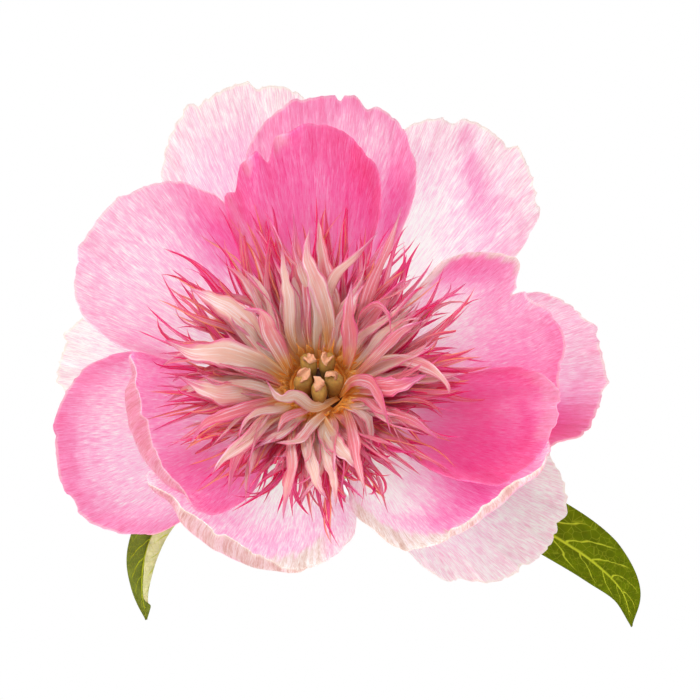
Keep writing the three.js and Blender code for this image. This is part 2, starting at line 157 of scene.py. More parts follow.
def soft_waves(seed, x, count):
    """Four sines of rising frequency, the soft waves of a petal's edge."""
    height = 0.0
    for k in range(4):
        turns = count * (0.3 + 0.25 * k) * 0.5 * x
        phase = (seed * 0.618034 + k * 0.3779) % 1
        height = height + np.sin(2 * math.pi * (turns + phase)) / (1 + 0.6 * k)
    return height / 2


def seeded_draws(seed):
    """A function that draws between two numbers, as the solids are placed by."""
    state = seed

    def between(low, high):
        nonlocal state
        state = (state * 1664525 + 1013904223) % 2**32
        return low + (high - low) * (state / 2**32)

    return between


def to_row(points):
    """Points of the bloom's own frame in the row's frame, in millimetres."""
    x, y, z = points[..., 0], points[..., 1], points[..., 2]
    return np.stack(
        (
            x + RECEPTACLE_IN_BOX[0],
            y * LEAN_COS + z * LEAN_SIN + RECEPTACLE_IN_BOX[1],
            z * LEAN_COS - y * LEAN_SIN + RECEPTACLE_HEIGHT,
        ),
        axis=-1,
    )


def from_surface(points):
    """Points given from the receptacle's foot on the surface, in the row's frame."""
    return points + np.array([*RECEPTACLE_IN_BOX, 0.0])


def catmull_rom(points, t):
    """Points at t (0 to 1) of the centripetal curve through the given points, as the solids use."""
    points = np.asarray(points, float)
    last = len(points) - 1
    padded = np.vstack((2 * points[0] - points[1], points, 2 * points[-1] - points[-2]))
    reached = np.clip(t, 0, 1) * last
    at = np.minimum(reached.astype(int), last - 1)
    w = (reached - at)[:, None]
    p0, p1, p2, p3 = (padded[at + k] for k in range(4))
    spans = ((p0, p1), (p1, p2), (p2, p3))
    d0, d1, d2 = (np.linalg.norm(b - a, axis=1, keepdims=True) ** 0.5 for a, b in spans)
    t1 = ((p1 - p0) / d0 - (p2 - p0) / (d0 + d1) + (p2 - p1) / d1) * d1
    t2 = ((p2 - p1) / d1 - (p3 - p1) / (d1 + d2) + (p3 - p2) / d2) * d1
    return p1 + t1 * w + (3 * p2 - 3 * p1 - 2 * t1 - t2) * w**2 + (2 * p1 - 2 * p2 + t1 + t2) * w**3


# Mesh tools.


def named(piece, name):
    piece.name = piece.data.name = name
    return piece


def select_only(*pieces):
    """Selects these pieces alone and makes the first one active."""
    for obj in bpy.context.selected_objects:
        obj.select_set(False)
    for piece in pieces:
        piece.select_set(True)
    bpy.context.view_layer.objects.active = pieces[0]


def read_points(piece):
    """A mesh's points in Blender's own unit."""
    flat = np.empty(len(piece.data.vertices) * 3)
    piece.data.vertices.foreach_get("co", flat)
    return flat.reshape(-1, 3)


def set_points(piece, points):
    piece.data.vertices.foreach_set("co", (np.asarray(points) * MM).ravel())
    piece.data.update()


def grid_piece(name, columns, rows):
    """A grid with its UV map, and the place of each of its vertices from side to side (-1 to 1) and from
    base to tip (0 to 1)."""
    bpy.ops.mesh.primitive_grid_add(x_subdivisions=columns, y_subdivisions=rows, size=2.0)
    piece = named(bpy.context.object, name)
    x, y, _ = read_points(piece).T
    return piece, x, (y + 1) / 2


def set_uv(piece, across, along):
    """Sets each vertex's place on the sheet as its UV: across from side to side, along from base to tip."""
    corners = np.empty(len(piece.data.loops), int)
    piece.data.loops.foreach_get("vertex_index", corners)
    places = np.stack((across[corners], along[corners]), axis=-1)
    piece.data.uv_layers.active.data.foreach_set("uv", places.ravel())


def set_attribute(piece, name, values):
    made = piece.data.attributes.new(name, "FLOAT", "POINT")
    made.data.foreach_set("value", values)


def apply_modifier(piece, kind, **settings):
    modifier = piece.modifiers.new(kind.title(), kind)
    for name, value in settings.items():
        setattr(modifier, name, value)
    select_only(piece)
    bpy.ops.object.modifier_apply(modifier=modifier.name)


def solidify(piece, thickness, back_slot=0, weights=None):
    """Gives a sheet its thickness, half to each side, with its back in another material slot. Weights are
    the share of the thickness at each vertex."""
    settings = {"thickness": thickness, "offset": 0.0, "thickness_clamp": 0.5, "material_offset": back_slot}
    if weights is None:
        apply_modifier(piece, "SOLIDIFY", use_even_offset=True, **settings)
        return
    group = piece.vertex_groups.new(name="Thickness")
    for index, weight in enumerate(weights):
        group.add((index,), float(weight), "REPLACE")
    apply_modifier(piece, "SOLIDIFY", use_even_offset=False, vertex_group=group.name, **settings)
    piece.vertex_groups.clear()


def lay_on_surface(piece):
    """What would reach below the surface that the flower lies on rests flat on it."""
    points = read_points(piece)
    points[:, 2] = np.maximum(points[:, 2], 0.0)
    set_points(piece, points / MM)


def finish_piece(piece, node, slot, *materials):
    """Gives a piece its materials, smooths it, hangs it on the root body and hides the solid that it stands
    for.
    """
    for material in materials:
        piece.data.materials.append(material)
    select_only(piece)
    bpy.ops.object.shade_smooth()
    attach(piece, "root")
    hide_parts(node)


def merge(name, pieces):
    """Joins pieces into one object and returns it."""
    select_only(*pieces)
    bpy.ops.object.join()
    return named(pieces[0], name)


# Node tools. A place for a value takes a plain number, a colour or a Value.


class Value:
    """A node's output, which plain arithmetic makes further nodes from."""

    def __init__(self, socket):
        self.socket = socket
        self.tree = socket.id_data

    def __add__(self, other):
        return calc("ADD", self, other)

    def __sub__(self, other):
        return calc("SUBTRACT", self, other)

    def __rsub__(self, other):
        return calc("SUBTRACT", other, self)

    def __mul__(self, other):
        return calc("MULTIPLY", self, other)

    def __truediv__(self, other):
        return calc("DIVIDE", self, other)

    def __abs__(self):
        return calc("ABSOLUTE", self)

    __radd__ = __add__
    __rmul__ = __mul__


def feed(socket, value):
    if isinstance(value, Value):
        value.tree.links.new(value.socket, socket)
    else:
        socket.default_value = (*value, 1.0) if socket.type == "RGBA" else value


def add_node(kind, inputs, output=0, tree=None, **settings):
    """Adds a node to the tree of its inputs, feeds them by name or number, and returns an output."""
    tree = tree or next(value.tree for value in inputs.values() if isinstance(value, Value))
    node = tree.nodes.new(kind)
    for name, setting in settings.items():
        setattr(node, name, setting)
    for key, value in inputs.items():
        feed(node.inputs[key], value)
    return Value(node.outputs[output])


def calc(operation, *values, **settings):
    return add_node("ShaderNodeMath", dict(enumerate(values)), operation=operation, **settings)


def larger(a, b):
    return calc("MAXIMUM", a, b)


def step_up(value, low, high):
    """0 below low, 1 above high and a smooth rise between them."""
    inputs = {"Value": value, "From Min": low, "From Max": high}
    return add_node("ShaderNodeMapRange", inputs, "Result", interpolation_type="SMOOTHSTEP")


def blend(factor, a, b, kind="MIX"):
    return add_node("ShaderNodeMix", {0: factor, 6: a, 7: b}, 2, data_type="RGBA", blend_type=kind)


def deepen(tint, depth):
    """A colour raised to a power: what light becomes through that depth of pigment."""
    return add_node("ShaderNodeGamma", {"Color": tint, "Gamma": depth})


def place(x, y, z=0.0):
    return add_node("ShaderNodeCombineXYZ", {0: x, 1: y, 2: z})


def split(vector):
    node = vector.tree.nodes.new("ShaderNodeSeparateXYZ")
    feed(node.inputs[0], vector)
    return [Value(socket) for socket in node.outputs]


def noise(vector, scale=1.0, detail=3.0, roughness=0.55):
    inputs = {"Vector": vector, "Scale": scale, "Detail": detail, "Roughness": roughness}
    return add_node("ShaderNodeTexNoise", inputs, "Fac")


def uv_places(tree):
    """The sheet's own places: side to side from 0 to 1, and base to tip from 0 to 1."""
    return split(add_node("ShaderNodeUVMap", {}, tree=tree, uv_map="UVMap"))[:2]


def object_places(tree):
    return add_node("ShaderNodeTexCoord", {}, "Object", tree)


def attribute(tree, name):
    return add_node("ShaderNodeAttribute", {}, "Fac", tree, attribute_name=name)


def bump(height, depth):
    """A normal from a height map whose full range is depth, in millimetres."""
    return add_node("ShaderNodeBump", {"Strength": 1.0, "Distance": depth * MM, "Height": height})


def new_group(name, inputs, outputs):
    """A node group with sockets of each kind, and its inputs by name."""
    group = bpy.data.node_groups.new(name, "ShaderNodeTree")
    for side, kinds in (("INPUT", inputs), ("OUTPUT", outputs)):
        for kind, sockets in kinds.items():
            for socket in sockets:
                group.interface.new_socket(socket, in_out=side, socket_type="NodeSocket" + kind)
    return group, {socket.name: Value(socket) for socket in group.nodes.new("NodeGroupInput").outputs}


def close_group(group, results):
    target = group.nodes.new("NodeGroupOutput")
    for name, value in results.items():
        feed(target.inputs[name], value)
    return group


def use_group(tree, name, build, values):
    """Adds the group of that name to a tree, built if it isn't there yet, and returns its outputs."""
    node = tree.nodes.new("ShaderNodeGroup")
    node.node_tree = bpy.data.node_groups.get(name) or build(name)
    for key, value in values.items():
        feed(node.inputs[key], value)
    return {socket.name: Value(socket) for socket in node.outputs}


def new_material(name):
    """A material and its empty node tree."""
    material = bpy.data.materials.new(name)
    material.use_nodes = True
    material.node_tree.nodes.clear()
    return material, material.node_tree


def close_material(material, shader):
    output = material.node_tree.nodes.new("ShaderNodeOutputMaterial")
    feed(output.inputs["Surface"], shader)
    return material


def principled(seen, roughness, normal, gloss=0.3, **more):
    """A Principled shader. Further inputs are named with low lines for spaces."""
    inputs = {"Base Color": seen, "Roughness": roughness, "Specular IOR Level": gloss, "Normal": normal}
    inputs.update({name.replace("_", " "): value for name, value in more.items()})
    return add_node("ShaderNodeBsdfPrincipled", inputs)


def sheet_material(material, seen, through, height, share, relief, roughness=0.5, **more):
    """Joins a sheet's reflected colour and, in its share, the light that comes through it."""
    normal = bump(height, relief)
    face = principled(seen, roughness, normal, **more)
    glow = add_node("ShaderNodeBsdfTranslucent", {"Color": through, "Normal": normal})
    return close_material(material, add_node("ShaderNodeMixShader", {"Fac": share, 1: face, 2: glow}))


# Petals. Azimuth and half spread (fan) are degrees round the bloom's axis, and rise is the blade's
# slope in degrees at its base, middle and rim. claw is the height of its root, cup lifts both sides in
# millimetres and tuck one of them. skew shortens one side, twist turns the rim's slope from side to
# side, notches and curls are (place across, half width, depth), fold rolls one side over: (side, start,
# degrees), and hem leans the rim further in, from a share of the length on, by so many degrees. frill
# and ruffled are the strength of the rim's small waves, and line that of its pale edge. tan is how much
# the backs show where the rim or a side turns over, and lips are further such places: (place across,
# half width, place along, strength); there the light through is greyed towards tan, partly painted
# shade for the little table light that reaches them. pigment is its depth at the body, rim and base,
# where the rim is deeper partly painted shade for the longer path of light through a curving rim, and
# spots are of deeper or, below zero, paler pigment: (across, along, width, length, depth), with places
# from 0 to 1; some of the deeper spots are painted shade, such as where middle_right's rim curls down.
NO_FOLD = (1, 2, 1)
PLAIN = {
    "skew": 0.0, "tuck": 0.0, "twist": 0.0, "notches": (), "curls": (), "fold": NO_FOLD, "hem": (1, 0),
    "tan": 1.0, "lips": (), "spots": (),
}
GUARD = {"claw": -6.8, "cup": 2.5, "frill": 0.015, "ruffled": 1.0, "line": 0.7}
MIDDLE = {"claw": -4.3, "cup": 3.0, "frill": 0.009, "ruffled": 0.7, "line": 0.45}
INNER = {"claw": -1.8, "cup": 4.0, "frill": 0.008, "ruffled": 0.6, "line": 0.15}


def blade(kind, azimuth, fan, reach, rise, **own):
    given = {"azimuth": azimuth, "fan": fan, "length": reach, "rise": rise}
    return SimpleNamespace(**{**PLAIN, **kind, **given, **own})


PETALS = {
    "guard_back_left": blade(
        GUARD, 106, 22, 90, (-4, 3, 19), pigment=(0.58, 0.35, 0.3),
        spots=((0.55, 0.8, 0.12, 0.12, 0.15), (0.85, 0.8, 0.1, 0.3, 0.1)),
    ),
    "guard_back_right": blade(
        GUARD, 57.8, 22, 88, (-6, 1, 17), pigment=(0.42, 0.4, 0.0),
        spots=((0.59, 0.95, 0.03, 0.05, 0.7), (0.52, 0.88, 0.035, 0.05, 0.9), (0.45, 0.84, 0.04, 0.05, 0.9),
               (0.37, 0.8, 0.06, 0.06, 0.6), (0.25, 0.8, 0.12, 0.12, 0.3), (0.08, 0.92, 0.08, 0.2, 0.4),
               (0.75, 0.92, 0.15, 0.1, 0.15), (0.6, 0.52, 0.25, 0.18, -0.4)),
    ),
    "guard_right": blade(
        GUARD, 5, 24, 74, (-2, 10, 20), pigment=(0.8, 1.1, 0.3),
        spots=((0.16, 0.88, 0.17, 0.26, 3.2), (0.6, 0.8, 0.15, 0.2, -0.1), (0.9, 0.6, 0.2, 0.25, -0.6)),
    ),
    "guard_front_right": blade(
        GUARD, -36, 25, 69, (-6, 2, 10), claw=-7, cup=0, skew=-0.06, pigment=(0.35, 0.35, 0.1),
        spots=((0.9, 0.9, 0.15, 0.3, -0.15),),
    ),
    "guard_left": blade(GUARD, 171, 22, 67, (-2, 3, 13), claw=-7.1, pigment=(0.2, 0.15, 0.1)),
    "middle_back": blade(
        MIDDLE, 87, 24, 79, (8, 14, 24), pigment=(0.6, 1.1, 0.4),
        notches=((-0.28, 0.06, 0.07), (-0.28, 0.07, -0.05), (-0.04, 0.011, 0.08)),
        spots=((0.66, 0.95, 0.2, 0.1, 0.7), (0.45, 0.99, 0.3, 0.04, 0.6), (0.08, 0.72, 0.12, 0.25, 1.8),
               (0.6, 0.8, 0.25, 0.2, -0.1)),
    ),
    "middle_right": blade(
        MIDDLE, 18, 31, 67, (10, 22, 50), skew=0.12, fold=(1, 0.78, 150), curls=((0.08, 0.12, 5),),
        notches=((0.24, 0.08, 0.09), (0.03, 0.14, 0.07), (-0.2, 0.1, 0.03), (0.16, 0.035, 0.08)),
        lips=((0.68, 0.42, 0.985, 0.8), (-0.02, 0.1, 0.96, 0.4)), pigment=(0.9, 1.1, 0.2),
        # Its spot at (0.15, 0.85) is painted shade where the rim curls down.
        spots=((0.82, 0.91, 0.16, 0.12, 1.4), (0.66, 0.6, 0.2, 0.16, -0.8), (0.15, 0.85, 0.25, 0.3, 0.6),
               (0.27, 1.0, 0.2, 0.07, 0.9)),
    ),
    "middle_front_right": blade(
        MIDDLE, -46, 31, 69, (5, 24, 60), claw=-3.4, cup=2, skew=-0.18, tuck=-4, twist=-30, hem=(0.74, 50),
        notches=((-0.75, 0.3, 0.1),), lips=((-0.5, 0.5, 0.82, 1.0),), pigment=(0.7, 0.6, 0.1),
        spots=((0.3, 0.42, 0.16, 0.3, -0.5), (0.85, 0.7, 0.2, 0.3, 1.3), (0.5, 0.72, 0.2, 0.1, 0.9),
               (0.66, 0.62, 0.12, 0.15, 0.9), (0.1, 0.6, 0.12, 0.3, -0.4)),
    ),
    "middle_front": blade(
        MIDDLE, -111, 39, 65, (3, 23, 66), claw=-4.6, skew=0.15, tuck=-1, twist=20, hem=(0.72, 62),
        notches=((0.75, 0.35, 0.12),), lips=((0.3, 0.35, 0.76, 1.0),), pigment=(0.65, 0.5, 0.1),
        spots=((0.35, 0.6, 0.3, 0.15, 0.3), (0.5, 0.35, 0.3, 0.12, -0.2)),
    ),
    "middle_left": blade(
        MIDDLE, 196, 29, 69, (1, 9, 22), claw=-5, skew=-0.04, tuck=-2, pigment=(0.75, 1.55, 0.2),
        spots=((0.5, 0.97, 0.5, 0.06, 0.9), (0.3, 0.75, 0.2, 0.2, -0.3)),
    ),
    "middle_back_left": blade(
        MIDDLE, 142, 28, 73, (8, 14, 34), claw=-4, skew=-0.03, tuck=1, pigment=(0.75, 0.9, 0.1),
        spots=((0.08, 0.72, 0.16, 0.35, 1.3), (0.75, 0.7, 0.3, 0.2, -0.1)),
    ),
    "inner_back": blade(
        INNER, 95, 26, 70, (19, 28, 44), notches=((0.33, 0.08, 0.11), (0.74, 0.08, 0.07)),
        curls=((0.12, 0.14, 8), (0.5, 0.14, 9)), pigment=(1.5, 2.8, 0.9),
        lips=((0.55, 0.12, 0.93, 0.45), (0.17, 0.13, 0.95, 0.5), (0.85, 0.11, 0.3, 0.3)),
        spots=((0.93, 0.8, 0.08, 0.35, -0.3), (0.12, 0.88, 0.16, 0.2, 0.8)),
    ),
    "inner_right": blade(
        INNER, -20, 21, 68, (15, 28, 52), skew=-0.08, cup=3, tan=0.35, lips=((0.4, 0.5, 0.93, 0.3),),
        pigment=(1.55, 2.3, 0.3),
        spots=((0.72, 0.72, 0.16, 0.16, -0.2), (0.35, 0.6, 0.2, 0.3, 0.2), (0.71, 0.82, 0.06, 0.03, 0.9),
               (0.6, 0.845, 0.06, 0.03, 0.9), (0.5, 0.885, 0.06, 0.03, 0.6)),
    ),
    "inner_left": blade(
        INNER, 207, 34, 64, (13, 28, 70), skew=0.1, cup=3.5, tuck=0.8, hem=(0.72, 70), tan=0.55,
        pigment=(1.1, 1.9, 0.4), spots=((0.8, 0.6, 0.2, 0.2, 0.5),),
    ),
}
SHOULDER = 0.42  # how much shorter a petal's sides are than its middle
RUFFLE = 1.3  # height of the soft waves along a petal's edge
RUFFLE_WAVES, FRILL_WAVES, FURROWS = 6, 24, 14  # across a petal, larger to smaller, and its long furrows
EDGE_WAVES, EDGE_TEETH, LIP_TEETH = 15, 70, 60  # across a petal, in its outline and its lips'
WAVES_SEED, TEETH_SEED, LIP_SEED, FURROW_SEED, FRILL_SEED = 40, 41, 20, 60, 90  # over a petal's own
CURL_START = 0.72  # share of the length from which a curl lifts the rim
TURNED_SLOPES = (math.radians(82), math.radians(96))  # between which a rim comes to show its back
MIDLINE_STEPS = 40
PETAL_COLUMNS, PETAL_ROWS = 120, 84
PETAL_REST = 0.55  # of its thickness, the least height of a petal's middle sheet over the surface
PETAL_RELIEF = 0.2
PETAL_THROUGH = 0.95  # share of the light on a petal's surface that goes through
BACK_PALER = 0.6  # share of the face's pigment that its back holds
TAN_AND_SHADE = (0.925, 0.86, 0.835)  # tan of the petals' rims, and of their backs where they turn over, there partly painted shade for the little table light that reaches them
TISSUE = (0.985, 0.985, 0.965)  # light through the petal's tissue beside its pigment, at each face


def petal_reach(petal, v, frill=0.0):
    """The share of its length that a petal reaches to at each place across it."""
    reach = 1 - SHOULDER * (1 - np.sqrt(np.maximum(0, 1 - np.abs(v) ** 2.2))) - petal.skew * v
    for notch in petal.notches:
        reach = reach - bell(v, *notch)
    waves = soft_waves(petal.seed + WAVES_SEED, v, EDGE_WAVES)
    return reach + frill * (waves + 0.35 * soft_waves(petal.seed + TEETH_SEED, v, EDGE_TEETH))


def petal_points(petal, u, v, frill=0.0, ruffle=0.0):
    """A petal's middle sheet in the bloom's frame, for arrays u (base to rim) and v (side to side)."""
    s = u * petal_reach(petal, v, frill)
    side, start, turn = petal.fold
    past = np.maximum(0, v * side - start)
    roll = math.radians(turn) * past / (1 - start) * smooth(0.25, 0.6, u)
    rolled = roll > 1e-6
    safe = np.where(rolled, roll, 1.0)
    flat = np.where(past > 0, start * side, v)
    across = flat + side * np.where(rolled, past * np.sin(roll) / safe, past)
    spread = math.radians(petal.fan) * (0.5 + 0.5 * smooth(0, 0.5, s))
    azimuth = math.radians(petal.azimuth) + spread * across
    radius, height, angle = petal_midline(petal, s, v)
    lift = (petal.cup * v * v + petal.tuck * v) * smooth(0.05, 0.7, u)
    for curl in petal.curls:
        lift = lift + bell(v, *curl) * np.maximum(0, (u - CURL_START) / (1 - CURL_START)) ** 2
    edge = np.maximum(smooth(0.55, 1, u), smooth(0.75, 1, np.abs(v)) * smooth(0.3, 0.7, u))
    lift = lift + RUFFLE * edge * soft_waves(petal.seed, v + 0.25 * u, RUFFLE_WAVES)
    fine = np.maximum(smooth(0.82, 1, u), smooth(0.88, 1, np.abs(v)) * smooth(0.35, 0.7, u))
    lift = lift + ruffle * fine * soft_waves(petal.seed + FRILL_SEED, v + 0.1 * u, FRILL_WAVES)
    furrow = 0.5 * ruffle * smooth(0.2, 0.5, u) * (1 - 0.4 * fine)
    lift = lift + furrow * soft_waves(petal.seed + FURROW_SEED, v + 0.06 * np.sin(5 * u), FURROWS)
    lift = lift + np.where(rolled, spread * radius * past * (1 - np.cos(roll)) / safe, 0.0)
    r = radius - lift * np.sin(angle)
    return np.stack((r * np.cos(azimuth), r * np.sin(azimuth), height + lift * np.cos(angle)), axis=-1)


def petal_midline(petal, s, v):
    """Radius, height and slope of the midline at the share s of the petal's length."""
    base, middle, rim = (math.radians(angle) for angle in petal.rise)
    tip = rim + math.radians(petal.twist) * v
    hem, lean = petal.hem

    def slope(x):
        past = np.maximum(0, x - hem) / max(1 - hem, 0.01)
        curve = base * (1 - x) * (1 - 2 * x) + middle * 4 * x * (1 - x) + tip * x * (2 * x - 1)
        return curve + math.radians(lean) * past

    stride = s * petal.length / MIDLINE_STEPS
    radius = np.full_like(s, CLAW_RADIUS)
    height = np.full_like(s, petal.claw)
    for k in range(MIDLINE_STEPS):
        angle = slope((k + 0.5) / MIDLINE_STEPS * s)
        radius += np.cos(angle) * stride
        height += np.sin(angle) * stride
    return radius, height, slope(s)


def petal_turned(petal, u, v):
    """How far a place is on a rim or a side that is turned over and shows its back, from 0 to 1."""
    side, start, _ = petal.fold
    slope = petal_midline(petal, u * petal_reach(petal, v), v)[2]
    turned = petal.tan * np.maximum(smooth(*TURNED_SLOPES, slope), smooth(start, start + 0.06, v * side))
    for centre, width, low, share in petal.lips:
        ragged = low - 0.02 + 0.025 * soft_waves(petal.seed + LIP_SEED, v, LIP_TEETH)
        lip = smooth(0, 0.12, width - np.abs(v - centre)) * smooth(ragged - 0.03, ragged + 0.03, u)
        turned = np.maximum(turned, share * lip)
    return turned


def pigment_spot(name):
    """A soft oval of deeper or, below zero, paler pigment."""
    group, given = new_group(
        name, {"Float": ("Across", "Along", "Width", "Length", "Depth")}, {"Float": ("Depth",)}
    )
    across, along = uv_places(group)
    dx, dy = (across - given["Across"]) / given["Width"], (along - given["Along"]) / given["Length"]
    soft = calc("EXPONENT", (dx * dx + dy * dy) * -1.0)
    return close_group(group, {"Depth": soft * given["Depth"]})


def petal_pigment(name):
    """The depth of pigment, the silky streaks, the pale rim and the turned hem over a petal, the hem greyed
    towards tan partly with painted shade.
    """
    group, given = new_group(
        name,
        {"Color": ("Pink", "Ivory", "Tan And Shade"), "Float": ("Body", "Rim", "Base", "Spots", "Line", "Seed")},
        {"Color": ("Through", "Seen"), "Float": ("Height",)},
    )
    across, along = uv_places(group)

    def woven(sideways, lengthwise, shift, detail=3, roughness=0.6):
        at = place(sideways, along * lengthwise, given["Seed"] + shift)
        return noise(at, detail=detail, roughness=roughness)

    def towards(share, start, end):
        return (end - start) * share + start

    bent = woven(across * 5, 4, 0, detail=2) * 0.025 + across
    coarse = woven(bent * 70, 1.3, 1)
    fine = woven(bent * 270, 21, 7, roughness=0.7)
    cloud = woven(across * 3.5, 3, 3)
    crease = woven(across * 9, 34, 11, detail=4, roughness=0.7)
    silk = coarse * 0.4 + fine * 0.6
    streak = (coarse - 0.5) * 0.8 + 0.5 + fine
    grain = (fine - 0.5) * 3.4 + (crease - 0.5) * 0.5
    sideways = abs(across * 2 - 1)
    beyond_base = step_up(along, 0.3, 0.7)
    rim = step_up((silk - 0.5) * 0.3 + along, 0.72, 1.0)
    outer = larger(rim, step_up(sideways, 0.84, 1.0) * beyond_base)
    line = larger(step_up(along, 0.987, 0.995), step_up(sideways, 0.98, 0.993) * beyond_base)
    line = line * (given["Line"] * step_up(crease, 0.3, 0.6))
    depth = towards(1 - step_up(along, 0.15, 0.7), given["Body"], given["Base"])
    depth = larger(towards(outer, depth, given["Rim"]) + given["Spots"], 0.04)
    depth = larger(depth * larger(streak, 0.1) * (cloud * 0.8 + 0.6) + grain, 0.0)
    through = deepen(given["Pink"], depth * 0.5)
    seen = blend(outer * 0.5, deepen(given["Pink"], depth), given["Ivory"])
    # Partly painted shade: where a rim, side or lip turns over, the light through is greyed towards tan with
    # wrinkles, for the little table light that reaches there; on the rims the tan is their own tone.
    turned = larger(attribute(group, "turned"), outer * (given["Line"] * 0.35)) * ((silk - 0.5) * 3 + 1)
    wrinkled = deepen(given["Tan And Shade"], larger(silk * 16 - 6.8, 0.1))
    through = blend(calc("MULTIPLY", turned, 0.95, use_clamp=True), through, wrinkled)
    through = blend(1.0, through, TISSUE, kind="MULTIPLY")
    return close_group(group, {
        "Through": blend(line, through, given["Ivory"]), "Seen": blend(line, seen, given["Ivory"]),
        "Height": silk + crease * 0.8,
    })


def petal_material(name, petal, colours, share):
    """One face of a petal, which holds a share of the petal's pigment."""
    material, tree = new_material(name)
    spots = 0.0
    for across, along, width, reach, depth in petal.spots:
        oval = {"Across": across, "Along": along, "Width": width, "Length": reach, "Depth": depth * share}
        spots = spots + use_group(tree, "Pigment spot", pigment_spot, oval)["Depth"]
    body, rim, base = (depth * share for depth in petal.pigment)
    looks = use_group(tree, "Petal pigment", petal_pigment, {
        "Pink": colours.pink, "Ivory": colours.ivory, "Tan And Shade": TAN_AND_SHADE, "Body": body, "Rim": rim,
        "Base": base, "Spots": spots, "Line": petal.line, "Seed": petal.seed * 1.7,
    })
    return sheet_material(
        material, looks["Seen"], looks["Through"], looks["Height"], PETAL_THROUGH, PETAL_RELIEF
    )


def make_petals(context, kind):
    shape, colours = context.scene.peony_shape, context.scene.peony_colours
    for seed, (short_name, petal) in enumerate(PETALS.items(), start=1):
        if not short_name.startswith(kind):
            continue
        petal.seed = seed
        name = "petal_" + short_name
        piece, x, u = grid_piece("fine_" + name, PETAL_COLUMNS, PETAL_ROWS)
        v = -np.sin(x * math.pi / 2)  # columns crowd the sides; the top face looks up
        ruffle = shape.petal_ruffle / MM * petal.ruffled
        points = to_row(petal_points(petal, u, v, petal.frill, ruffle))
        points[:, 2] = np.maximum(points[:, 2], PETAL_REST * shape.petal_thickness / MM)
        set_points(piece, points)
        set_uv(piece, (v + 1) / 2, u)
        set_attribute(piece, "turned", petal_turned(petal, u, v))
        face = petal_material(name + "_face", petal, colours, 1.0)
        back = petal_material(name + "_back", petal, colours, BACK_PALER)
        finish_piece(piece, name, kind + "_petal", face, back)
        solidify(piece, shape.petal_thickness, back_slot=1)
        lay_on_surface(piece)


class PEONY_OT_guard_petals(bpy.types.Operator):
    """Models the guard petals, the outermost and palest"""

    bl_idname = "peony.guard_petals"
    bl_label = "Guard Petals"

    def execute(self, context):
        make_petals(context, "guard")
        return {"FINISHED"}


class PEONY_OT_middle_petals(bpy.types.Operator):
    """Models the cupped petals inside the guard petals"""

    bl_idname = "peony.middle_petals"
    bl_label = "Middle Petals"

    def execute(self, context):
        make_petals(context, "middle")
        return {"FINISHED"}


class PEONY_OT_inner_petals(bpy.types.Operator):
    """Models the innermost and darkest petals"""

    bl_idname = "peony.inner_petals"
    bl_label = "Inner Petals"

    def execute(self, context):
        make_petals(context, "inner")
        return {"FINISHED"}


# Staminodes. Each ribbon is a row with these columns, in degrees and millimetres. The bursts' own
# ribbons follow the solids' rule, a little changed, and finer ones are added beside them.
AZIMUTH, DRIFT, ROOT_RADIUS, ROOT_HEIGHT, LENGTH, ROOT_RISE, TIP_RISE, WIDTH, TWIST, WIDEST = range(10)
OUTER_SEED, INNER_SEED = 20, 7  # as in the solids
OUTER_STAMINODES, OUTER_TIERS = 96, 3
INNER_STAMINODES = 26
INNER_ROOT = (8.0, 4.9)
# Finer ribbons beside each of a burst's own ones, by the least and the most share of its width.
OUTER_SATELLITES = ((0.7, 1.1), (0.45, 0.8))
INNER_SATELLITES = ((0.6, 1.0), (0.4, 0.8))
OUTER_LONGER = ((262, 28, 4.0), (137, 20, 4.0))  # azimuth, half width in degrees, millimetres
OUTER_NARROWED, INNER_NARROWED = 0.95, 0.8  # share of the width by the rule
INNER_OPENED = 8.0  # degrees that they lean out further, under the ones that lie over them
FILAMENTS = 54
FILAMENT_TINT = 2.0  # above the others', which are up to 1.15, it colours them like the roots and gives them the roots' painted glow
# Rows and columns of a ribbon's grid.
OUTER_GRID, INNER_GRID, SEEN_GRID, FILAMENT_GRID = (16, 4), (20, 6), (24, 6), (8, 2)
OUTER_RING, INNER_RING = ((7.0, 11.2), (SEAT_GAP, 2.6)), ((7.45, 8.6), (2.6 + SEAT_GAP, 5.8))
RING_SIDES = 64
RING_CHAMFER = (0.8, 0.6)
# As (azimuth, length, rise at root, rise at tip, width, drift, twist).
PLACED_RIBBONS = (
    (146, 41, 64, 24, 7.5, 4, 10), (154, 33, 70, 44, 6, -6, -35), (172, 43, 60, 20, 8, 6, 12),
    (187, 39, 56, 18, 7, 4, -15), (110, 34, 72, 44, 5.5, -4, 50), (96, 38, 70, 40, 6, 4, -10),
    (66, 30, 74, 48, 5.5, -8, -45), (24, 33, 62, 32, 4.5, 10, 60), (-7, 36, 54, 18, 8, 6, 10),
    (-38, 25, 74, 8, 4.5, -20, -80), (-70, 29, 62, 30, 6, 8, 15), (-88, 37, 56, 28, 5.5, -8, 30),
    (228, 42, 56, 24, 6, 8, -20), (243, 27, 66, 34, 5.5, -8, 40), (128, 38, 64, 34, 6, 6, 25),
    (50, 36, 64, 34, 5, -6, 55),
)
